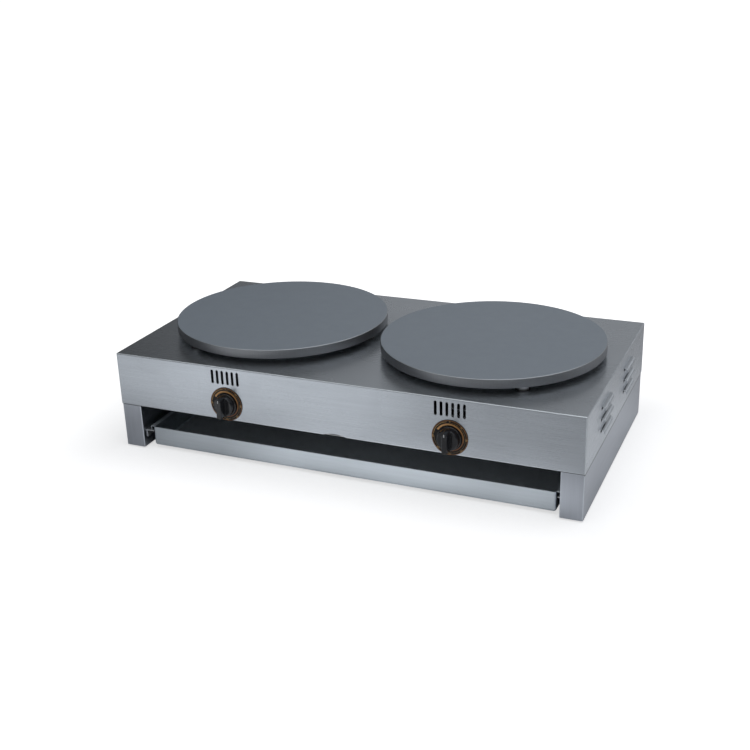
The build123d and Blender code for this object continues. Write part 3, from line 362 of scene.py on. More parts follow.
# --- Folded sheet steel ---
LOUVRE_PROUD = 7.5 * MM     # how far the louvres' hoods stand out from the housing's sides
# The painted shade inside the louvre hoods starts this far inside the sides
HOOD_ZONE = 2 * MM          # how far inside the sides the hoods' own finish starts
FOLD_ZONE = 5 * MM          # height of the zone at the top and at the foot that holds the folds
# Tone of the painted shade inside the louvre hoods
HOOD_SHADE_TONE = (0.10, 0.102, 0.105)
# Tone of the painted shade along the joint between the housing and its legs
JOINT_SHADE_TONE = (0.04, 0.042, 0.045)
LINE_TONE, BAND_TONE, CLOUD_TONE = 0.05, 0.03, 0.035
UPWARD_LINES = 0.15         # strength of the lines on faces that look up
# Cap on the lightened edges and folds, which are partly wear and partly a painted highlight
BRIGHTEST = 0.95            # no worn edge is brighter


def hood_shade_mask(tree):
    """A mask of the louvre hoods' inner faces, where their shade is painted dark."""
    at = axes_of(tree)
    facing = axes_of(tree, "Normal")
    side_plane = housing_high.x - LOUVRE_PROUD - HOOD_ZONE
    outside = math(tree, "GREATER_THAN", math(tree, "ABSOLUTE", at["X"]), side_plane)
    outward = math(tree, "MULTIPLY", math(tree, "SIGN", at["X"]), facing["X"])
    inward = spread(tree, outward, -0.02, -0.15)
    down = spread(tree, facing["Z"], -0.1, -0.4)
    above = math(tree, "GREATER_THAN", at["Z"], housing_low.z + FOLD_ZONE)
    hidden = math(tree, "MULTIPLY", math(tree, "MAXIMUM", inward, down), above)
    return math(tree, "MULTIPLY", hidden, outside)


def brushed_tone(tree, colour, lines, line, shown):
    """The sheet's colour with its lines, broader bands and large clouds."""
    toned = tinted(tree, colour, line, LINE_TONE)
    toned = tinted(tree, toned, fainter(tree, lines["Band"], shown), BAND_TONE)
    return tinted(tree, toned, lines["Cloud"], CLOUD_TONE)


def dry_film(tree, shader, gloss):
    """Dried film on the faces that look up: duller and less like metal. Returns the new roughness."""
    film = spread(tree, axes_of(tree, "Normal")["Z"], 0.5, 0.9)
    less = math(tree, "SUBTRACT", 1.0, math(tree, "MULTIPLY", film, 0.5))
    feed(less, shader.inputs["Metallic"])
    return math(tree, "ADD", gloss, math(tree, "MULTIPLY", film, 0.22))


def spread_gloss_across(tree, shader, grain):
    """The gloss is spread across the lines, on the end faces too."""
    values = {0: on_end_face(tree), 4: grain["Across"], 5: grain["End Across"]}
    turned = place(tree, "ShaderNodeMix", values, data_type="VECTOR")
    feed(turned.outputs[1], shader.inputs["Tangent"])


def brushed_steel(name, colour, roughness, grain, joint_shade_reach, wear_and_highlight=1.45, dull_floor=False, hoods=False):
    """Satin sheet steel: brushing lines in tone, gloss and relief; edges and folds painted brighter, partly
    as wear and partly as a painted highlight; faint haze.
    """
    material, tree, shader = new_material(name, colour, roughness, 1.0, anisotropic=0.6)
    lines = use(tree, grain_group, grain)
    edges = use(tree, edge_group, {"Radius": 0.8 * MM})
    haze = use(tree, haze_group, {"Patch Size": 110 * MM, "Cover": 0.5})
    folds = use(tree, fold_group, {"Lowest Side Fold": housing_high.z - FOLD_ZONE} if hoods else {})
    joint = use(tree, joint_shade_group, {"Reach": joint_shade_reach[0], "End Reach": joint_shade_reach[1]})
    shown = spread(tree, folds["Up"], 0.0, 1.0, 1.0, UPWARD_LINES)
    line = fainter(tree, lines["Line"], shown)
    # Edges and folds are painted lighter: partly wear, partly a painted highlight along the folds
    worn_and_highlit = math(tree, "MAXIMUM", edges["Edge"], folds["Fold"])
    wear_and_highlight_tone = tuple(min(BRIGHTEST, part * wear_and_highlight) for part in colour)
    toned = mix_colour(tree, worn_and_highlit, brushed_tone(tree, colour, lines, line, shown), wear_and_highlight_tone)
    # Painted shade on the inner faces of the louvre hoods
    if hoods:
        toned = mix_colour(tree, hood_shade_mask(tree), toned, HOOD_SHADE_TONE)
    gloss = spread(tree, line, 0.25, 0.75, roughness - 0.03, roughness + 0.04)
    gloss = math(tree, "ADD", gloss, math(tree, "MULTIPLY", folds["Fold"], 0.14))
    gloss = math(tree, "ADD", gloss, math(tree, "MULTIPLY", haze["Haze"], 0.05))
    if dull_floor:
        gloss = dry_film(tree, shader, gloss)
    # The base colour takes the painted shade along the joint with the legs
    fill(shader, {
        "Base Color": mix_colour(tree, joint["Painted Shade"], toned, JOINT_SHADE_TONE),
        "Roughness": gloss,
        "Normal": bumped(tree, line, 0.04 * MM, 0.3, edges["Normal"]),
    })
    spread_gloss_across(tree, shader, grain)
    return material


def galvanised_steel():
    """Zinc-coated inner sheet: dull spangle cells of slightly different tone and gloss."""
    colour = (0.74, 0.75, 0.76)
    material, tree, shader = new_material("galvanised_steel", colour, 0.5, 1.0)
    cells = place(tree, "ShaderNodeTexVoronoi", {"Vector": own_coordinates(tree), "Scale": 190.0}).outputs
    shade = place(tree, "ShaderNodeSeparateColor", {0: cells["Color"]}).outputs
    edges = use(tree, edge_group, {"Radius": 0.6 * MM})
    level = spread(tree, shade[0], 0.0, 1.0, 0.91, 1.09)
    fill(shader, {
        "Base Color": mix_colour(tree, 1.0, colour, level, "MULTIPLY"),
        "Roughness": spread(tree, shade[1], 0.0, 1.0, 0.46, 0.56),
        "Normal": bumped(tree, cells["Distance"], 0.08 * MM, 0.4, edges["Normal"]),
    })
    return material


# --- Cast plates ---
def turning_marks(tree):
    """Rings round each plate's middle, and the chatter of the tool round its rim, as noise values."""
    at = axes_of(tree)
    centre = middle_of("right_griddle_plate")
    # The two plates mirror each other about X = 0
    across = math(tree, "SUBTRACT", math(tree, "ABSOLUTE", at["X"]), centre.x)
    deep = math(tree, "SUBTRACT", at["Y"], centre.y)
    squares = [math(tree, "POWER", part, 2.0) for part in (across, deep)]
    reach = math(tree, "SQRT", math(tree, "ADD", *squares))
    rings = noise(tree, combined(tree, X=reach), 900.0, roughness=0.6)
    turn = math(tree, "ARCTAN2", deep, across)
    chatter = noise(tree, combined(tree, X=turn), 90.0, detail=3.0, roughness=0.7)
    return rings, chatter


def griddle_iron():
    """Matt blue-grey cast plate: faint turning rings and fine pores on top, a bare turned rim."""
    top_tone = (0.222, 0.255, 0.292)
    rim_tone = (0.33, 0.34, 0.355)
    chamfer_highlight_tone = (0.42, 0.44, 0.46)
    underside_bare_and_lit_tone = (0.42, 0.42, 0.42)
    material, tree, shader = new_material("griddle_iron", top_tone, 0.45)
    rings, chatter = turning_marks(tree)
    skin = use(tree, mould_group, {"Grain Size": 1.2 * MM})
    haze = use(tree, haze_group, {"Patch Size": 90 * MM, "Cover": 0.5})
    edges = use(tree, edge_group, {"Radius": 0.6 * MM, "Gain": 3.0})
    toned = tinted(tree, top_tone, skin["Mottle"], 0.025)
    toned = tinted(tree, toned, rings, 0.03)
    # The turned side of the rim is bare metal, with the marks of the tool; the seasoned top is not
    up = axes_of(tree, "Normal")["Z"]
    side = spread(tree, math(tree, "ABSOLUTE", up), 0.74, 0.85, 1.0, 0.0)
    # The chamfer is painted lighter than the rim: a painted highlight along the plate's top edge
    bare = mix_colour(tree, spread(tree, up, 0.3, 0.6), tinted(tree, rim_tone, chatter, 0.07), chamfer_highlight_tone)
    # Faces that look down are lighter: partly bare iron, partly painted light under the plates
    toned = mix_colour(tree, spread(tree, up, -0.6, -0.8), toned, underside_bare_and_lit_tone)
    gloss = from_noise(tree, rings, 0.42, 0.48)
    relief = math(tree, "ADD", skin["Height"], math(tree, "MULTIPLY", rings, 0.5))
    fill(shader, {
        "Base Color": mix_colour(tree, side, toned, bare),
        "Metallic": side,
        "Roughness": math(tree, "SUBTRACT", gloss, math(tree, "MULTIPLY", haze["Haze"], 0.03)),
        "Normal": bumped(tree, relief, 0.08 * MM, 0.3, edges["Normal"]),
    })
    return material


# --- Small metal pieces ---
def handled_metal(name, colour, roughness, rougher, edge, speck=0.10):
    """Metal with eased edges and faint handling marks; returns its speckled colour too."""
    material, tree, shader = new_material(name, colour, roughness, 1.0)
    haze = use(tree, haze_group, {"Patch Size": 12 * MM, "Cover": 0.5})
    edges = use(tree, edge_group, {"Radius": edge})
    fill(shader, {
        "Roughness": spread(tree, haze["Haze"], 0.0, 1.0, roughness, rougher),
        "Normal": bumped(tree, haze["Speck"], 0.03 * MM, 0.3, edges["Normal"]),
    })
    return material, tree, shader, tinted(tree, colour, haze["Speck"], speck)


def bright_metal(name, colour, roughness, speck=0.10):
    """Plated or turned small metal pieces."""
    rougher = roughness + 0.15
    material, tree, shader, toned = handled_metal(name, colour, roughness, rougher, 0.5 * MM, speck)
    feed(toned, shader.inputs["Base Color"])
    return material


def foot_metal():
    """Turned spacers below the plates, darker towards where they stand on the housing: a painted shade under
    the plates.
    """
    foot_shade_tone = (0.09, 0.085, 0.08)
    shade_from, shade_to = 1 * MM, 6 * MM
    material, tree, shader, toned = handled_metal("foot_steel", (0.74, 0.74, 0.75), 0.30, 0.42, 0.6 * MM)
    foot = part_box("right_plate_feet")[0].z
    # Painted shade: darker towards the foot's bottom
    unshaded = spread(tree, axes_of(tree)["Z"], foot + shade_from, foot + shade_to)
    feed(mix_colour(tree, unshaded, foot_shade_tone, toned), shader.inputs["Base Color"])
    return material


def heat_darkened_sheath():
    """Element sheath: dark oxide with straw and blue heat colours in patches."""
    oxide, straw, blue = (0.10, 0.095, 0.09), (0.20, 0.13, 0.07), (0.07, 0.08, 0.13)
    material, tree, shader = new_material("heat_darkened_sheath", oxide, 0.5, 0.8)
    spot = own_coordinates(tree)
    patches = noise(tree, spot, 45.0, detail=3.0, roughness=0.6, distortion=0.5)
    fine = noise(tree, spot, 1400.0)
    toned = mix_colour(tree, spread(tree, patches, 0.45, 0.6), oxide, straw)
    toned = mix_colour(tree, spread(tree, patches, 0.58, 0.7), toned, blue)
    fill(shader, {
        "Base Color": toned,
        "Roughness": from_noise(tree, fine, 0.42, 0.62),
        "Normal": bumped(tree, fine, 0.05 * MM, 0.5),
    })
    return material


# --- Plastic, rubber, ceramic and wool ---
def hazed_skin(name, colour, roughness, grain, patch, edge, mottle, relief, **constants):
    """A moulded skin with handling haze; roughness is a pair, and so are patch and relief."""
    material, tree, shader = new_material(name, colour, roughness[0], **constants)
    skin = use(tree, mould_group, {"Grain Size": grain})
    haze = use(tree, haze_group, {"Patch Size": patch[0], "Cover": patch[1]})
    edges = use(tree, edge_group, {"Radius": edge})
    fill(shader, {
        "Base Color": tinted(tree, colour, skin["Mottle"], mottle),
        "Roughness": spread(tree, haze["Haze"], 0.0, 1.0, *roughness),
        "Normal": bumped(tree, skin["Height"], *relief, edges["Normal"]),
    })
    return material


def black_knob_plastic():
    """Gloss black phenolic: deep polish with faint mould skin and thumb haze."""
    return hazed_skin(
        "black_knob_plastic", (0.009, 0.010, 0.013), (0.14, 0.30), grain=1.6 * MM, patch=(14 * MM, 0.55),
        edge=0.7 * MM, mottle=0.2, relief=(0.04 * MM, 0.25), specular_ior_level=0.5, coat_weight=0.3,
    )


def moulded(name, colour, roughness, grain=0.7 * MM, relief=0.08 * MM, **constants):
    """Moulded plastic, rubber or fired ceramic, told apart by tone, gloss and grain."""
    return hazed_skin(
        name, colour, (roughness, min(1.0, roughness + 0.12)), grain, patch=(20 * MM, 0.5),
        edge=0.5 * MM, mottle=0.14, relief=(relief, 0.5), **constants,
    )


def dial_black():
    """Black enamelled dial disc with a soft gloss."""
    colour = (0.010, 0.009, 0.009)
    material, tree, shader = new_material("dial_black", colour, 0.34, specular_ior_level=0.3)
    skin = use(tree, mould_group, {"Grain Size": 0.9 * MM})
    edges = use(tree, edge_group, {"Radius": 0.4 * MM})
    fill(shader, {
        "Base Color": tinted(tree, colour, skin["Mottle"], 0.25),
        "Roughness": from_noise(tree, skin["Mottle"], 0.26, 0.38),
        "Normal": bumped(tree, skin["Height"], 0.03 * MM, 0.3, edges["Normal"]),
    })
    return material


def mineral_wool():
    """Pressed wool board: pale matted fibres with a soft nap."""
    colour = (0.62, 0.58, 0.47)
    material, tree, shader = new_material("mineral_wool", colour, 0.95, sheen_weight=0.3)
    spot = own_coordinates(tree)
    fibres = noise(tree, spot, 900.0, detail=4.0, roughness=0.8, distortion=3.0)
    clumps = noise(tree, spot, 60.0, detail=3.0, roughness=0.6, distortion=1.0)
    toned = tinted(tree, tinted(tree, colour, fibres, 0.22), clumps, 0.12)
    fill(shader, {"Base Color": toned, "Normal": bumped(tree, fibres, 0.6 * MM, 0.7)})
    return material


# --- Printing inks ---
FADE = "fade"               # how far along the print a point lies, from 0 to 1
FADE_FROM, FADE_TO = 0.12, 0.75


def lay_ink(tree, shader, colour, roughness):
    """Slightly uneven cover and a raised, satin surface."""
    skin = use(tree, mould_group, {"Grain Size": 0.4 * MM})
    fill(shader, {
        "Base Color": tinted(tree, colour, skin["Mottle"], 0.12),
        "Roughness": from_noise(tree, skin["Height"], roughness - 0.05, roughness + 0.1),
        "Normal": bumped(tree, skin["Height"], 0.02 * MM, 0.4),
    })


def printed_ink(name, colour, roughness=0.4):
    """Screen-printed ink of one colour."""
    material, tree, shader = new_material(name, colour, roughness)
    lay_ink(tree, shader, colour, roughness)
    return material


def fading_ink(name, first, last, roughness=0.4):
    """Screen-printed ink whose colour changes along the print, by the mesh's own fade value."""
    material, tree, shader = new_material(name, first, roughness)
    along = place(tree, "ShaderNodeAttribute", attribute_name=FADE).outputs["Fac"]
    colour = mix_colour(tree, spread(tree, along, FADE_FROM, FADE_TO), first, last)
    lay_ink(tree, shader, colour, roughness)
    return material


# --- Finishes of the CAD nodes ---
HOUSING_TONE = (0.60, 0.638, 0.68)
LEG_TONE = (0.53, 0.56, 0.61)
TRAY_TONE = (0.585, 0.633, 0.67)
# Reach of the painted shade along the joint with the legs, for each finish
HOUSING_JOINT_SHADE = (0.4 * MM, 0.7 * MM)    # its reach on the front faces and on the end faces
LEG_JOINT_SHADE = (0.8 * MM, 3.5 * MM)
TRAY_JOINT_SHADE = (0.1 * MM, 0.1 * MM)


def dress_cad_nodes():
    """Every CAD node's finish, by the material slot that the record gives it."""
    finishes = {
        "housing_steel": brushed_steel(
            "housing_steel", HOUSING_TONE, 0.27, FRONT_GRAIN, HOUSING_JOINT_SHADE, hoods=True,
        ),
        "leg_steel": brushed_steel("leg_steel", LEG_TONE, 0.32, UPRIGHT_GRAIN, LEG_JOINT_SHADE, wear_and_highlight=1.6),
        "tray_steel": brushed_steel(
            "tray_steel", TRAY_TONE, 0.30, FRONT_GRAIN, TRAY_JOINT_SHADE, wear_and_highlight=1.4, dull_floor=True,
        ),
        "inner_steel": galvanised_steel(),
        "griddle_iron": griddle_iron(),
        "foot_steel": foot_metal(),
        "screw_steel": bright_metal("screw_steel", (0.60, 0.60, 0.62), 0.26),
        "terminal_brass": bright_metal("terminal_brass", (0.68, 0.48, 0.20), 0.3),
        "element_sheath": heat_darkened_sheath(),
        "insulation_wool": mineral_wool(),
        "sensor_copper": bright_metal("sensor_copper", (0.62, 0.30, 0.18), 0.32, speck=0.16),
        "thermostat_body": moulded("thermostat_body", (0.62, 0.58, 0.48), 0.55),
        "dial_face": dial_black(),
        "knob_black": black_knob_plastic(),
        "gland_black": moulded("gland_black", (0.022, 0.022, 0.024), 0.5, 0.6 * MM),
        "terminal_ceramic": moulded(
            "terminal_ceramic", (0.72, 0.70, 0.64), 0.22, 4 * MM, coat_weight=0.5,
        ),
        "lead_sheath": moulded("lead_sheath", (0.03, 0.03, 0.035), 0.6, 0.5 * MM),
        "earth_lead_sheath": moulded("earth_lead_sheath", (0.10, 0.32, 0.05), 0.55, 0.5 * MM),
        "pad_rubber": moulded("pad_rubber", (0.02, 0.02, 0.02), 0.75, 0.5 * MM, 0.1 * MM),
    }
    for row in frame["record"]["subparts"]:
        slots = frame["nodes"][row["node"]].data.materials
        slots.clear()
        slots.append(finishes[row["material_slot"]])
    return finishes


# --- Mesh helpers ---
def finished_mesh(name, shape):
    """A mesh from a bmesh, with its faces turned outward."""
    bmesh.ops.recalc_face_normals(shape, faces=shape.faces)
    mesh = bpy.data.meshes.new(name)
    shape.to_mesh(mesh)
    shape.free()
    return mesh


def evaluated_copy(thing):
    """The mesh that an object's curve or modifiers give; the object itself is removed."""
    bpy.context.view_layer.update()
    graph = bpy.context.evaluated_depsgraph_get()
    mesh = bpy.data.meshes.new_from_object(thing.evaluated_get(graph))
    thing.modifiers.clear()
    bpy.data.objects.remove(thing)
    return mesh


def merged(name, parts):
    """One mesh from several parts, each a mesh, its place and its material."""
    shape = bmesh.new()
    whole = bpy.data.meshes.new(name)
    materials = []
    for mesh, at, material in parts:
        if material not in materials:
            materials.append(material)
        part = mesh.copy()
        part.transform(at)
        first = len(shape.faces)
        shape.from_mesh(part)
        shape.faces.ensure_lookup_table()
        for face in shape.faces[first:]:
            face.material_index = materials.index(material)
        bpy.data.meshes.remove(part)
    shape.to_mesh(whole)
    shape.free()
    for material in materials:
        whole.materials.append(material)
    return whole


def add_piece(name, mesh, body, stands_for=()):
    """A finished piece on its body; the CAD parts that it stands for are hidden."""
    piece = linked(name, mesh)
    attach(piece, body)
    if stands_for:
        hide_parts(*stands_for)


def smooth(mesh, angle):
    """Smooth shading, with edges sharper than the angle kept."""
    mesh.shade_smooth()
    mesh.set_sharp_from_angle(angle=radians(angle))
    return mesh


def quads_between(shape, ring, after):
    """Faces between two closed rings of as many corners each."""
    for i in range(len(ring)):
        shape.faces.new((ring[i - 1], ring[i], after[i], after[i - 1]))


# --- Geometry Nodes for what repeats ---
def new_copies_tree(name, inputs):
    """An empty Geometry Nodes tree; returns it, what it is given, and the node that its result goes to."""
    tree = bpy.data.node_groups.new(name, "GeometryNodeTree")
    tree.interface.new_socket("Geometry", in_out="INPUT", socket_type=SHAPE)
    tree.interface.new_socket("Copied Piece", in_out="INPUT", socket_type="NodeSocketObject")
    for label, kind, value in (*inputs, ("Seed", INTEGER, 1)):
        tree.interface.new_socket(label, in_out="INPUT", socket_type=kind).default_value = value
    tree.interface.new_socket("Finish", in_out="INPUT", socket_type="NodeSocketMaterial")
    tree.interface.new_socket("Geometry", in_out="OUTPUT", socket_type=SHAPE)
    return tree, tree.nodes.new("NodeGroupInput").outputs, tree.nodes.new("NodeGroupOutput")


def chance(tree, given, low, high):
    """A random number for each copy, from the tree's seed."""
    values = {2: low, 3: high, "Seed": given["Seed"]}
    return place(tree, "FunctionNodeRandomValue", values, data_type="FLOAT").outputs[1]


def end_copies(tree, given, out, points, angle, scale=(1, 1, 1)):
    """Copies on the points, each turned about Y by its angle, made real and given their finish."""
    rotation = place(tree, "FunctionNodeEulerToRotation", {0: combined(tree, Y=angle)}).outputs[0]
    source = place(tree, "GeometryNodeObjectInfo", {"Object": given["Copied Piece"]}).outputs["Geometry"]
    copies = place(tree, "GeometryNodeInstanceOnPoints", {
        "Points": points, "Instance": source, "Rotation": rotation, "Scale": scale,
    }).outputs[0]
    real = place(tree, "GeometryNodeRealizeInstances", {0: copies}).outputs[0]
    values = {"Geometry": real, "Material": given["Finish"]}
    fill(out, {"Geometry": place(tree, "GeometryNodeSetMaterial", values).outputs[0]})


def make_ring_tree():
    """Copies on an arc about the Y axis, clockwise from the top as seen from the front."""
    tree, given, out = new_copies_tree("copies on an arc", [
        ("Count", INTEGER, 12),
        ("First Angle", NUMBER, 0.0),
        ("Step", NUMBER, 0.2),
        ("Radius", NUMBER, 20 * MM),
        ("Unevenness", NUMBER, 0.0),
    ])
    line = place(tree, "GeometryNodeMeshLine", {"Count": given["Count"]}, mode="OFFSET").outputs[0]
    index = place(tree, "GeometryNodeInputIndex").outputs[0]
    steps = math(tree, "MULTIPLY", index, given["Step"])
    angle = math(tree, "ADD", steps, given["First Angle"])
    sideways, upward = [
        math(tree, "MULTIPLY", math(tree, operation, angle), given["Radius"])
        for operation in ("SINE", "COSINE")
    ]
    spots = combined(tree, X=sideways, Z=upward)
    moved = place(tree, "GeometryNodeSetPosition", {"Geometry": line, "Position": spots}).outputs[0]
    shorter = math(tree, "SUBTRACT", 1.0, given["Unevenness"])
    longer = math(tree, "ADD", 1.0, given["Unevenness"])
    scale = combined(tree, X=1.0, Y=1.0, Z=chance(tree, given, shorter, longer))
    end_copies(tree, given, out, moved, angle, scale)
    return tree


def make_fixings_tree():
    """Copies on given points, each turned about Y by chance, as screws are left."""
    tree, given, out = new_copies_tree("copies on points", [("Most Turn", NUMBER, pi)])
    angle = chance(tree, given, 0.0, given["Most Turn"])
    end_copies(tree, given, out, given["Geometry"], angle)
    return tree


ring_tree = make_ring_tree()
fixings_tree = make_fixings_tree()


def grown(tree, points, shape, finish, values):
    """The mesh that a copies tree makes on the given points from one shape."""
    host_mesh = bpy.data.meshes.new("copies")
    host_mesh.from_pydata(points, [], [])
    host = linked("copies", host_mesh)
    pattern = linked("copied_piece", shape)
    modifier = host.modifiers.new("copies", "NODES")
    modifier.node_group = tree
    settings = {**values, "Copied Piece": pattern, "Finish": finish}
    for item in tree.interface.items_tree:
        if item.in_out == "INPUT" and item.name in settings:
            modifier[item.identifier] = settings[item.name]
    mesh = evaluated_copy(host)
    bpy.data.objects.remove(pattern)
    return mesh


# --- Prints on the dials ---
# Angles run clockwise from the top
INK_THICKNESS = 0.05 * MM
SCALE_RADIUS, SCALE_WIDTH, SCALE_SWEEP = 26.9 * MM, 0.25 * MM, radians(270)
DIAL_ARCS = (               # ink, inner radius, widths at its start and end, start angle and sweep
    ("rim", 30.1 * MM, (0.75 * MM, 0.75 * MM), 0, 2 * pi),
    ("band", 22.4 * MM, (3.3 * MM, 1.6 * MM), radians(-60), radians(245)),
    ("scale", SCALE_RADIUS, (SCALE_WIDTH, SCALE_WIDTH), 0, SCALE_SWEEP),
    ("scale", 28.0 * MM, (0.7 * MM, 0.7 * MM), radians(278), radians(72)),
)
ARC_STEPS = 96
DIAL_TICKS = (              # length, width and how many; the long ones stand at the numbers
    (0.75 * MM, 0.28 * MM, 31),
    (1.1 * MM, 0.42 * MM, 7),
)
TICK_UNEVENNESS = 0.03
NUMBERS = ("0", "50", "100", "150", "200", "250", "300")
NUMBER_RADIUS = 28.75 * MM
NUMBER_HEIGHT = 2.5 * MM
FIGURE_SHARE = 0.7          # a figure's height in units of the font's size
FIGURE_BOLDNESS = 0.012     # outline moved out, in units of the figure's height
BAR_ENDS = 8                # steps in the round end of a bar
BAR_TAPER = (0.94, 0.99)    # a bar's front face beside its back face


def arc_plate(inner, widths, start, sweep):
    """A flat arc of ink, clockwise from the top, with a width for each of its two ends."""
    shape = bmesh.new()
    closed = abs(sweep - 2 * pi) < 1e-6
    fade = shape.verts.layers.float.new(FADE)
    rings = []
    for i in range(ARC_STEPS if closed else ARC_STEPS + 1):
        part = i / ARC_STEPS
        angle = start + sweep * part
        outer = inner + widths[0] + (widths[1] - widths[0]) * part
        section = ((inner, 0), (outer, 0), (outer, -INK_THICKNESS), (inner, -INK_THICKNESS))
        rings.append([shape.verts.new((r * sin(angle), y, r * cos(angle))) for r, y in section])
        for corner in rings[-1]:
            corner[fade] = part
    following = rings[1:] + rings[:1] if closed else rings[1:]
    for ring, after in zip(rings, following):
        quads_between(shape, ring, after)
    if not closed:
        shape.faces.new(rings[0][::-1])
        shape.faces.new(rings[-1])
    return finished_mesh("arc", shape)


def bar_plate(width, length, thickness):
    """A flat bar with round ends, upright in the front plane and proud of it to the front."""
    shape = bmesh.new()
    outline = []
    for sign in (1, -1):
        for i in range(BAR_ENDS + 1):
            angle = pi * i / BAR_ENDS
            x = sign * cos(angle) * width / 2
            z = sign * ((length - width) / 2 + sin(angle) * width / 2)
            outline.append((x, z))
    back = [shape.verts.new((x, 0, z)) for x, z in outline]
    front = [shape.verts.new((x * BAR_TAPER[0], -thickness, z * BAR_TAPER[1])) for x, z in outline]
    shape.faces.new(back)
    shape.faces.new(front[::-1])
    quads_between(shape, back, front)
    return finished_mesh("bar", shape)


def number_plate(text):
    """A number in the front plane, as a thin closed solid round its own middle."""
    data = bpy.data.curves.new("number", "FONT")
    data.body = text
    data.size = NUMBER_HEIGHT / FIGURE_SHARE
    data.align_x = "CENTER"
    data.align_y = "CENTER"
    data.extrude = INK_THICKNESS / 2
    data.offset = NUMBER_HEIGHT * FIGURE_BOLDNESS
    data.resolution_u = 4
    mesh = evaluated_copy(linked("number", data))
    mesh.transform(Matrix.Rotation(pi / 2, 4, "X"))
    mesh.transform(Matrix.Translation((0, -INK_THICKNESS / 2, 0)))
    shape = bmesh.new()
    shape.from_mesh(mesh)
    bmesh.ops.remove_doubles(shape, verts=shape.verts, dist=1e-6)
    return finished_mesh("number", shape)


def dial_marks(inks):
    """The parts of one dial's print about its own centre: lines, narrowing band, scale and numbers."""
    still = Matrix.Identity(4)
    parts = [(arc_plate(*arc), still, inks[ink]) for ink, *arc in DIAL_ARCS]
    for length, width, count in DIAL_TICKS:
        ticks = grown(ring_tree, [], bar_plate(width, length, INK_THICKNESS), inks["scale"], {
            "Count": count,
            "Step": SCALE_SWEEP / (count - 1),
            "Radius": SCALE_RADIUS + SCALE_WIDTH - length / 2,
            "Unevenness": TICK_UNEVENNESS,
            "Seed": count,
        })
        parts.append((ticks, still, inks["scale"]))
    for i, text in enumerate(NUMBERS):
        turn = Matrix.Rotation(SCALE_SWEEP * i / (len(NUMBERS) - 1), 4, "Y")
        out = Matrix.Translation((0, 0, NUMBER_RADIUS))
        parts.append((number_plate(text), turn @ out, inks["scale"]))
    return parts


def make_dial_prints():
    """The print of both dials, as one piece on the chassis."""
    marks = dial_marks({
        "band": fading_ink("orange_ink", (0.92, 0.50, 0.19), (0.28, 0.11, 0.04)),
        "rim": printed_ink("rim_ink", (0.52, 0.24, 0.085)),
        "scale": printed_ink("pale_ink", (0.74, 0.45, 0.17)),
    })
    parts = []
    for side in SIDES:
        centre = middle_of(f"{side}_dial")
        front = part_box(f"{side}_dial")[0].y
        moved = Matrix.Translation((centre.x, front, centre.z))
        parts += [(mesh, moved @ at, ink) for mesh, at, ink in marks]
    add_piece("dial_prints", merged("dial_prints", parts), "chassis")


# --- Pointers in the knobs' grooves ---
POINTER_WIDTH, POINTER_LENGTH = 1.8 * MM, 5.2 * MM
POINTER_DROP = 2.8 * MM      # middle of the enamel below the groove's outer end
GROOVE_END = 18.0 * MM       # groove's outer end above the knob's axis
GROOVE_DEPTH = 0.4 * MM
ENAMEL_FILL = 0.9            # share of the groove's depth that the enamel fills


def make_pointers():
    """White enamel in the outer end of each knob's groove; each turns with its knob."""
    enamel = printed_ink("pointer_enamel", (0.82, 0.82, 0.80), 0.25)
    for side in SIDES:
        centre = middle_of(f"{side}_knob")
        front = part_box(f"{side}_knob")[0].y
        height = centre.z + GROOVE_END - POINTER_DROP
        mesh = bar_plate(POINTER_WIDTH, POINTER_LENGTH, GROOVE_DEPTH * ENAMEL_FILL)
        mesh.transform(Matrix.Translation((centre.x, front + GROOVE_DEPTH, height)))
        mesh.materials.append(enamel)
        add_piece(f"{side}_pointer", mesh, f"{side}_knob")


# --- Screws of the back panel ---
SCREW_PROFILE = (            # pairs of radius and height in millimetres, the head's seat at height 0
    (0.0, 2.40), (1.2, 2.36), (2.3, 2.15), (3.2, 1.72), (3.8, 1.10), (4.0, 0.55), (3.96, 0.12), (3.85, 0.0),
    (2.0, 0.0), (2.0, -2.8), (1.5, -3.4), (0.0, -3.4),
)
SCREW_SEGMENTS = 32
SCREW_COLUMNS = 4
HEAD_RADIUS, HEAD_HEIGHT = 4.0 * MM, 2.4 * MM
RECESS_WIDTH, RECESS_LENGTH, RECESS_DEPTH = 0.9 * MM, 4.4 * MM, 1.3 * MM
RECESS_TAPER = 0.62          # the recess's length at its bottom, as a share
RECESS_RISE = 0.2 * MM       # how far the cutter stands out of the head


def turned_shape(profile, segments):
    """A closed shape turned about the Y axis from pairs of radius and height in millimetres."""
    shape = bmesh.new()
    angles = [2 * pi * i / segments for i in range(segments)]
    rings = []
    for radius, height in profile:
        at = angles if radius else angles[:1]
        rings.append([
            shape.verts.new((radius * MM * cos(a), height * MM, radius * MM * sin(a))) for a in at
        ])
    for ring, after in zip(rings, rings[1:]):
        for i in range(segments):
            near = [ring[k % len(ring)] for k in (i, i + 1)]
            far = [after[k % len(after)] for k in (i + 1, i)]
            corners = list(dict.fromkeys(near + far))
            if len(corners) > 2:
                shape.faces.new(corners)
    return finished_mesh("turned", shape)


def cross_cutter():
    """Two tapered blades that cross, for the recess of a screw head."""
    shape = bmesh.new()
    for turn in (0, pi / 2):
        blade = bmesh.ops.create_cube(shape, size=1.0)["verts"]
        for corner in blade:
            deep = corner.co.y < 0
            corner.co.x *= RECESS_LENGTH * (RECESS_TAPER if deep else 1.0)
            corner.co.y = HEAD_HEIGHT - RECESS_DEPTH if deep else HEAD_HEIGHT + RECESS_RISE
            corner.co.z *= RECESS_WIDTH
        bmesh.ops.rotate(shape, verts=blade, cent=(0, 0, 0), matrix=Matrix.Rotation(turn, 3, "Y"))
    return finished_mesh("cutter", shape)


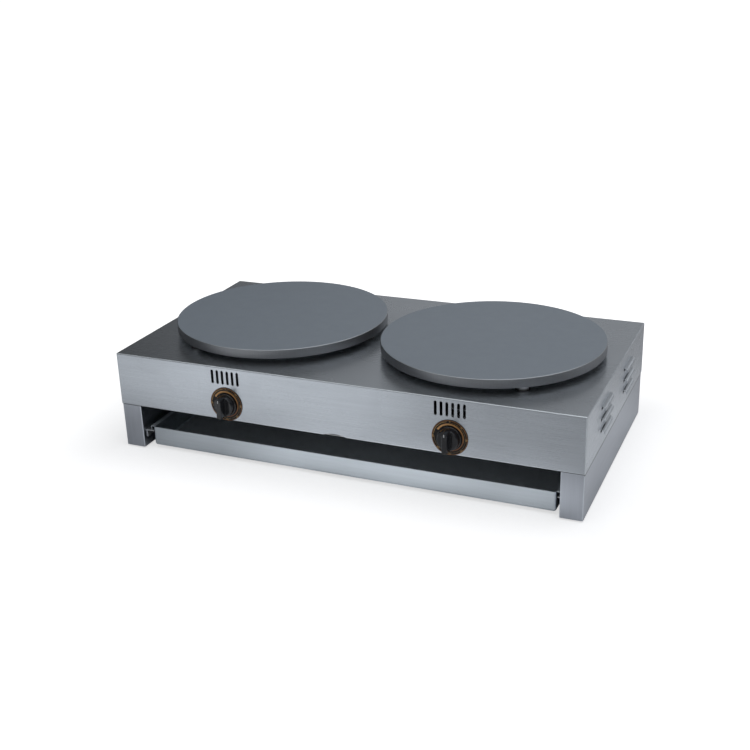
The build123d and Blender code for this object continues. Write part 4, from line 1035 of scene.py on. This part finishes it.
def crosshead_screw():
    """A pan-head screw with a cross recess, its head's seat at the origin and its head towards +Y."""
    screw = linked("screw", turned_shape(SCREW_PROFILE, SCREW_SEGMENTS))
    cutter = linked("cutter", cross_cutter())
    cut = screw.modifiers.new("recess", "BOOLEAN")
    cut.operation = "DIFFERENCE"
    cut.solver = "EXACT"
    cut.use_self = True
    cut.object = cutter
    mesh = evaluated_copy(screw)
    bpy.data.objects.remove(cutter)
    return smooth(mesh, 35)


def make_back_screws(finish):
    """The back panel's screws, each left at its own turn."""
    low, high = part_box("back_panel_screws")
    width = high.x - low.x - 2 * HEAD_RADIUS
    columns = [low.x + HEAD_RADIUS + width * i / (SCREW_COLUMNS - 1) for i in range(SCREW_COLUMNS)]
    rows = (low.z + HEAD_RADIUS, high.z - HEAD_RADIUS)
    points = [(x, high.y - HEAD_HEIGHT, z) for x in columns for z in rows]
    mesh = grown(fixings_tree, points, crosshead_screw(), finish, {"Most Turn": 2 * pi, "Seed": 7})
    add_piece("crosshead_screws", mesh, "chassis", ["back_panel_screws"])


# --- Grip ribs on the cable gland's nut ---
RIB_COUNT = 24
RIB_WIDTH, RIB_PROUD = 1.1 * MM, 0.45 * MM
RIB_SUNK = 0.1 * MM                       # how far its edges lie inside the nut
RIB_FROM, RIB_TO = 11.6 * MM, 21.0 * MM   # along the gland, from the back panel
RIB_ARC = 6                               # steps over the rib's back
RIB_SECTIONS = (                          # place along the rib and share of its full height
    (0.0, 0.15), (0.12, 0.85), (0.3, 1.0), (0.7, 1.0), (0.88, 0.85), (1.0, 0.15),
)
NUT_RADIUS = 11.5 * MM


def rib_shape():
    """A half-round rib along Y with tapered ends, lying on the ring of radius zero."""
    shape = bmesh.new()
    sections = []
    for at, share in RIB_SECTIONS:
        y = RIB_FROM + (RIB_TO - RIB_FROM) * at
        angles = [pi * i / RIB_ARC for i in range(RIB_ARC + 1)]
        sections.append([
            shape.verts.new((cos(a) * RIB_WIDTH / 2, y, sin(a) * RIB_PROUD * share - RIB_SUNK))
            for a in angles
        ])
    for ring, after in zip(sections, sections[1:]):
        quads_between(shape, ring, after)
    shape.faces.new(sections[0])
    shape.faces.new(sections[-1][::-1])
    return smooth(finished_mesh("rib", shape), 60)


def make_gland_ribs(finish):
    """Ribs round the gland's nut for grip."""
    centre = middle_of("cable_gland")
    panel_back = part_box("back_panel")[1].y
    mesh = grown(ring_tree, [], rib_shape(), finish, {
        "Count": RIB_COUNT,
        "Step": 2 * pi / RIB_COUNT,
        "Radius": NUT_RADIUS,
        "Seed": 3,
    })
    mesh.transform(Matrix.Translation((centre.x, panel_back, centre.z)))
    add_piece("gland_ribs", mesh, "chassis")


# --- Floor, lights and surroundings ---
FLOOR_HALF = 12.0
FLOOR_TONE = (0.60, 0.60, 0.605)
WHITE = (1.0, 1.0, 1.0)
SKY = (0.97, 0.99, 1.02)                   # daylight tint of lamps, surroundings and patches
LIFT_NEAR, LIFT_FAR = 0.62, 1.0            # white that the camera sees, near the object and away from it
LIFT_REACH = 0.40
ROOM_LEVEL, ROOM_FRONT = 0.03, 0.17        # surroundings on every side, and more in front of the object
BACKDROP_LEVEL, BACKDROP_TOP = 0.80, 0.5   # pale band behind the object, fading out upward
BACKDROP_LEFT = (-0.65, -0.32)             # directions between which the band starts on the left
# Glowing patches of the floor, painted light that only gloss rays see
GLOSS_GLOW_PATCHES = (       # pale patches of the floor that gloss shows: half size; centre and level of each
    ((0.20, 0.13), ((-0.30, -0.30, 0.31), (-0.10, -0.30, 0.71), (0.10, -0.30, 0.78), (0.30, -0.30, 0.55))),
    ((0.30, 0.32), ((-0.75, -0.62, 0.62), (-0.45, -0.62, 0.82), (-0.15, -0.62, 0.72), (0.15, -0.62, 0.14))),
    ((0.16, 0.20), ((0.54, -0.20, 0.33), (0.52, 0.00, 0.24), (0.51, 0.20, 0.25), (0.48, 0.38, 0.10))),
    ((0.22, 0.25), ((0.64, -0.62, 0.90),)),
)
SOFTBOXES = (        # name, place, aim, size and power in watts
    ("main_softbox", (1.1, 0.0, 2.2), (0.2, 0.0, 0.1), (3.0, 2.8), 32),
    ("left_softbox", (-0.9, 0.4, 2.1), (0.0, 0.0, 0.1), (2.0, 1.6), 3),
    ("front_softbox", (-0.7, -1.15, 2.1), (-0.1, -0.2, 0.1), (2.4, 0.7), 8),
    ("rear_softbox", (0.0, 2.4, 1.8), (0.0, 0.0, 0.1), (3.0, 1.2), 2),
)


def soft_patch(tree, position, centre, size):
    """A soft oval on the floor: 1 in its middle, 0 outside."""
    off = vector_math(tree, "SUBTRACT", position, (*centre, 0))
    reach = vector_math(tree, "LENGTH", vector_math(tree, "DIVIDE", off, (*size, 1)))
    return spread(tree, reach, 0.0, 1.0, 1.0, 0.0, "SMOOTHSTEP")


def lifted_white(tree, position):
    """The white that the camera sees on the floor, less of it close to the object's outline."""
    middle = (housing_low + housing_high) / 2
    half = (housing_high - housing_low) / 2
    off = vector_math(tree, "SUBTRACT", position, (middle.x, middle.y, 0.0))
    outside = vector_math(tree, "SUBTRACT", vector_math(tree, "ABSOLUTE", off), (half.x, half.y, 0.0))
    reach = vector_math(tree, "LENGTH", vector_math(tree, "MAXIMUM", outside, (0, 0, 0)))
    return spread(tree, reach, 0.0, LIFT_REACH, LIFT_NEAR, LIFT_FAR)


def make_floor():
    """A plain pale floor that the camera sees as white, with the object's shadow on it."""
    mesh = bpy.data.meshes.new("floor")
    corners = [(x * FLOOR_HALF, y * FLOOR_HALF, 0) for x, y in ((-1, -1), (1, -1), (1, 1), (-1, 1))]
    mesh.from_pydata(corners, [], [(0, 1, 2, 3)])
    floor = linked("floor", mesh)
    material, tree, shader = new_material("pale_floor", FLOOR_TONE, 0.9, specular_ior_level=0.1)
    position = own_coordinates(tree)
    path = place(tree, "ShaderNodeLightPath").outputs
    glow = math(tree, "MULTIPLY", path["Is Camera Ray"], lifted_white(tree, position))
    # Patches of painted light: the floor glows there for gloss rays only
    for size, patches in GLOSS_GLOW_PATCHES:
        for x, y, level in patches:
            patch = math(tree, "MULTIPLY", soft_patch(tree, position, (x, y), size), level)
            glow = math(tree, "ADD", glow, math(tree, "MULTIPLY", patch, path["Is Glossy Ray"]))
    tint = mix_colour(tree, path["Is Camera Ray"], SKY, WHITE)
    fill(shader, {"Emission Color": tint, "Emission Strength": glow})
    mesh.materials.append(material)


def make_world():
    """White behind the object for the camera; for gloss and fill, a dim room that is paler in front, with
    a pale band low behind the object."""
    world = bpy.data.worlds.new("studio")
    bpy.context.scene.world = world
    world.use_nodes = True
    tree = world.node_tree
    background = tree.nodes["Background"]
    facing = axes_of(tree, "Generated")
    level = math(tree, "ADD", spread(tree, facing["Y"], -1.0, 0.0, ROOM_FRONT, 0.0), ROOM_LEVEL)
    behind = spread(tree, facing["Y"], 0.0, 0.5)
    behind = math(tree, "MULTIPLY", behind, spread(tree, facing["X"], *BACKDROP_LEFT))
    fade = spread(tree, facing["Z"], 0.0, BACKDROP_TOP, BACKDROP_LEVEL, 0.0)
    level = math(tree, "ADD", level, math(tree, "MULTIPLY", behind, fade))
    room = mix_colour(tree, 1.0, SKY, level, "MULTIPLY")
    camera_ray = place(tree, "ShaderNodeLightPath").outputs["Is Camera Ray"]
    fill(background, {"Color": mix_colour(tree, camera_ray, room, WHITE), "Strength": 1.0})


def make_lights():
    """A main softbox overhead on the right, and weaker ones on the left, high in front and high behind."""
    for name, place_at, aim, size, power in SOFTBOXES:
        data = bpy.data.lights.new(name, "AREA")
        data.shape = "RECTANGLE"
        data.size, data.size_y = size
        data.energy = power
        data.color = SKY
        lamp = linked(name, data)
        lamp.location = place_at
        lamp.rotation_euler = (Vector(aim) - Vector(place_at)).to_track_quat("-Z", "Y").to_euler()


# --- Assembly ---
make_camera()
finishes = dress_cad_nodes()
make_dial_prints()
make_pointers()
make_back_screws(finishes["screw_steel"])
make_gland_ribs(finishes["gland_black"])
make_floor()
make_world()
make_lights()
bpy.context.scene.view_settings.view_transform = "Standard"

bpy.context.view_layer.update()
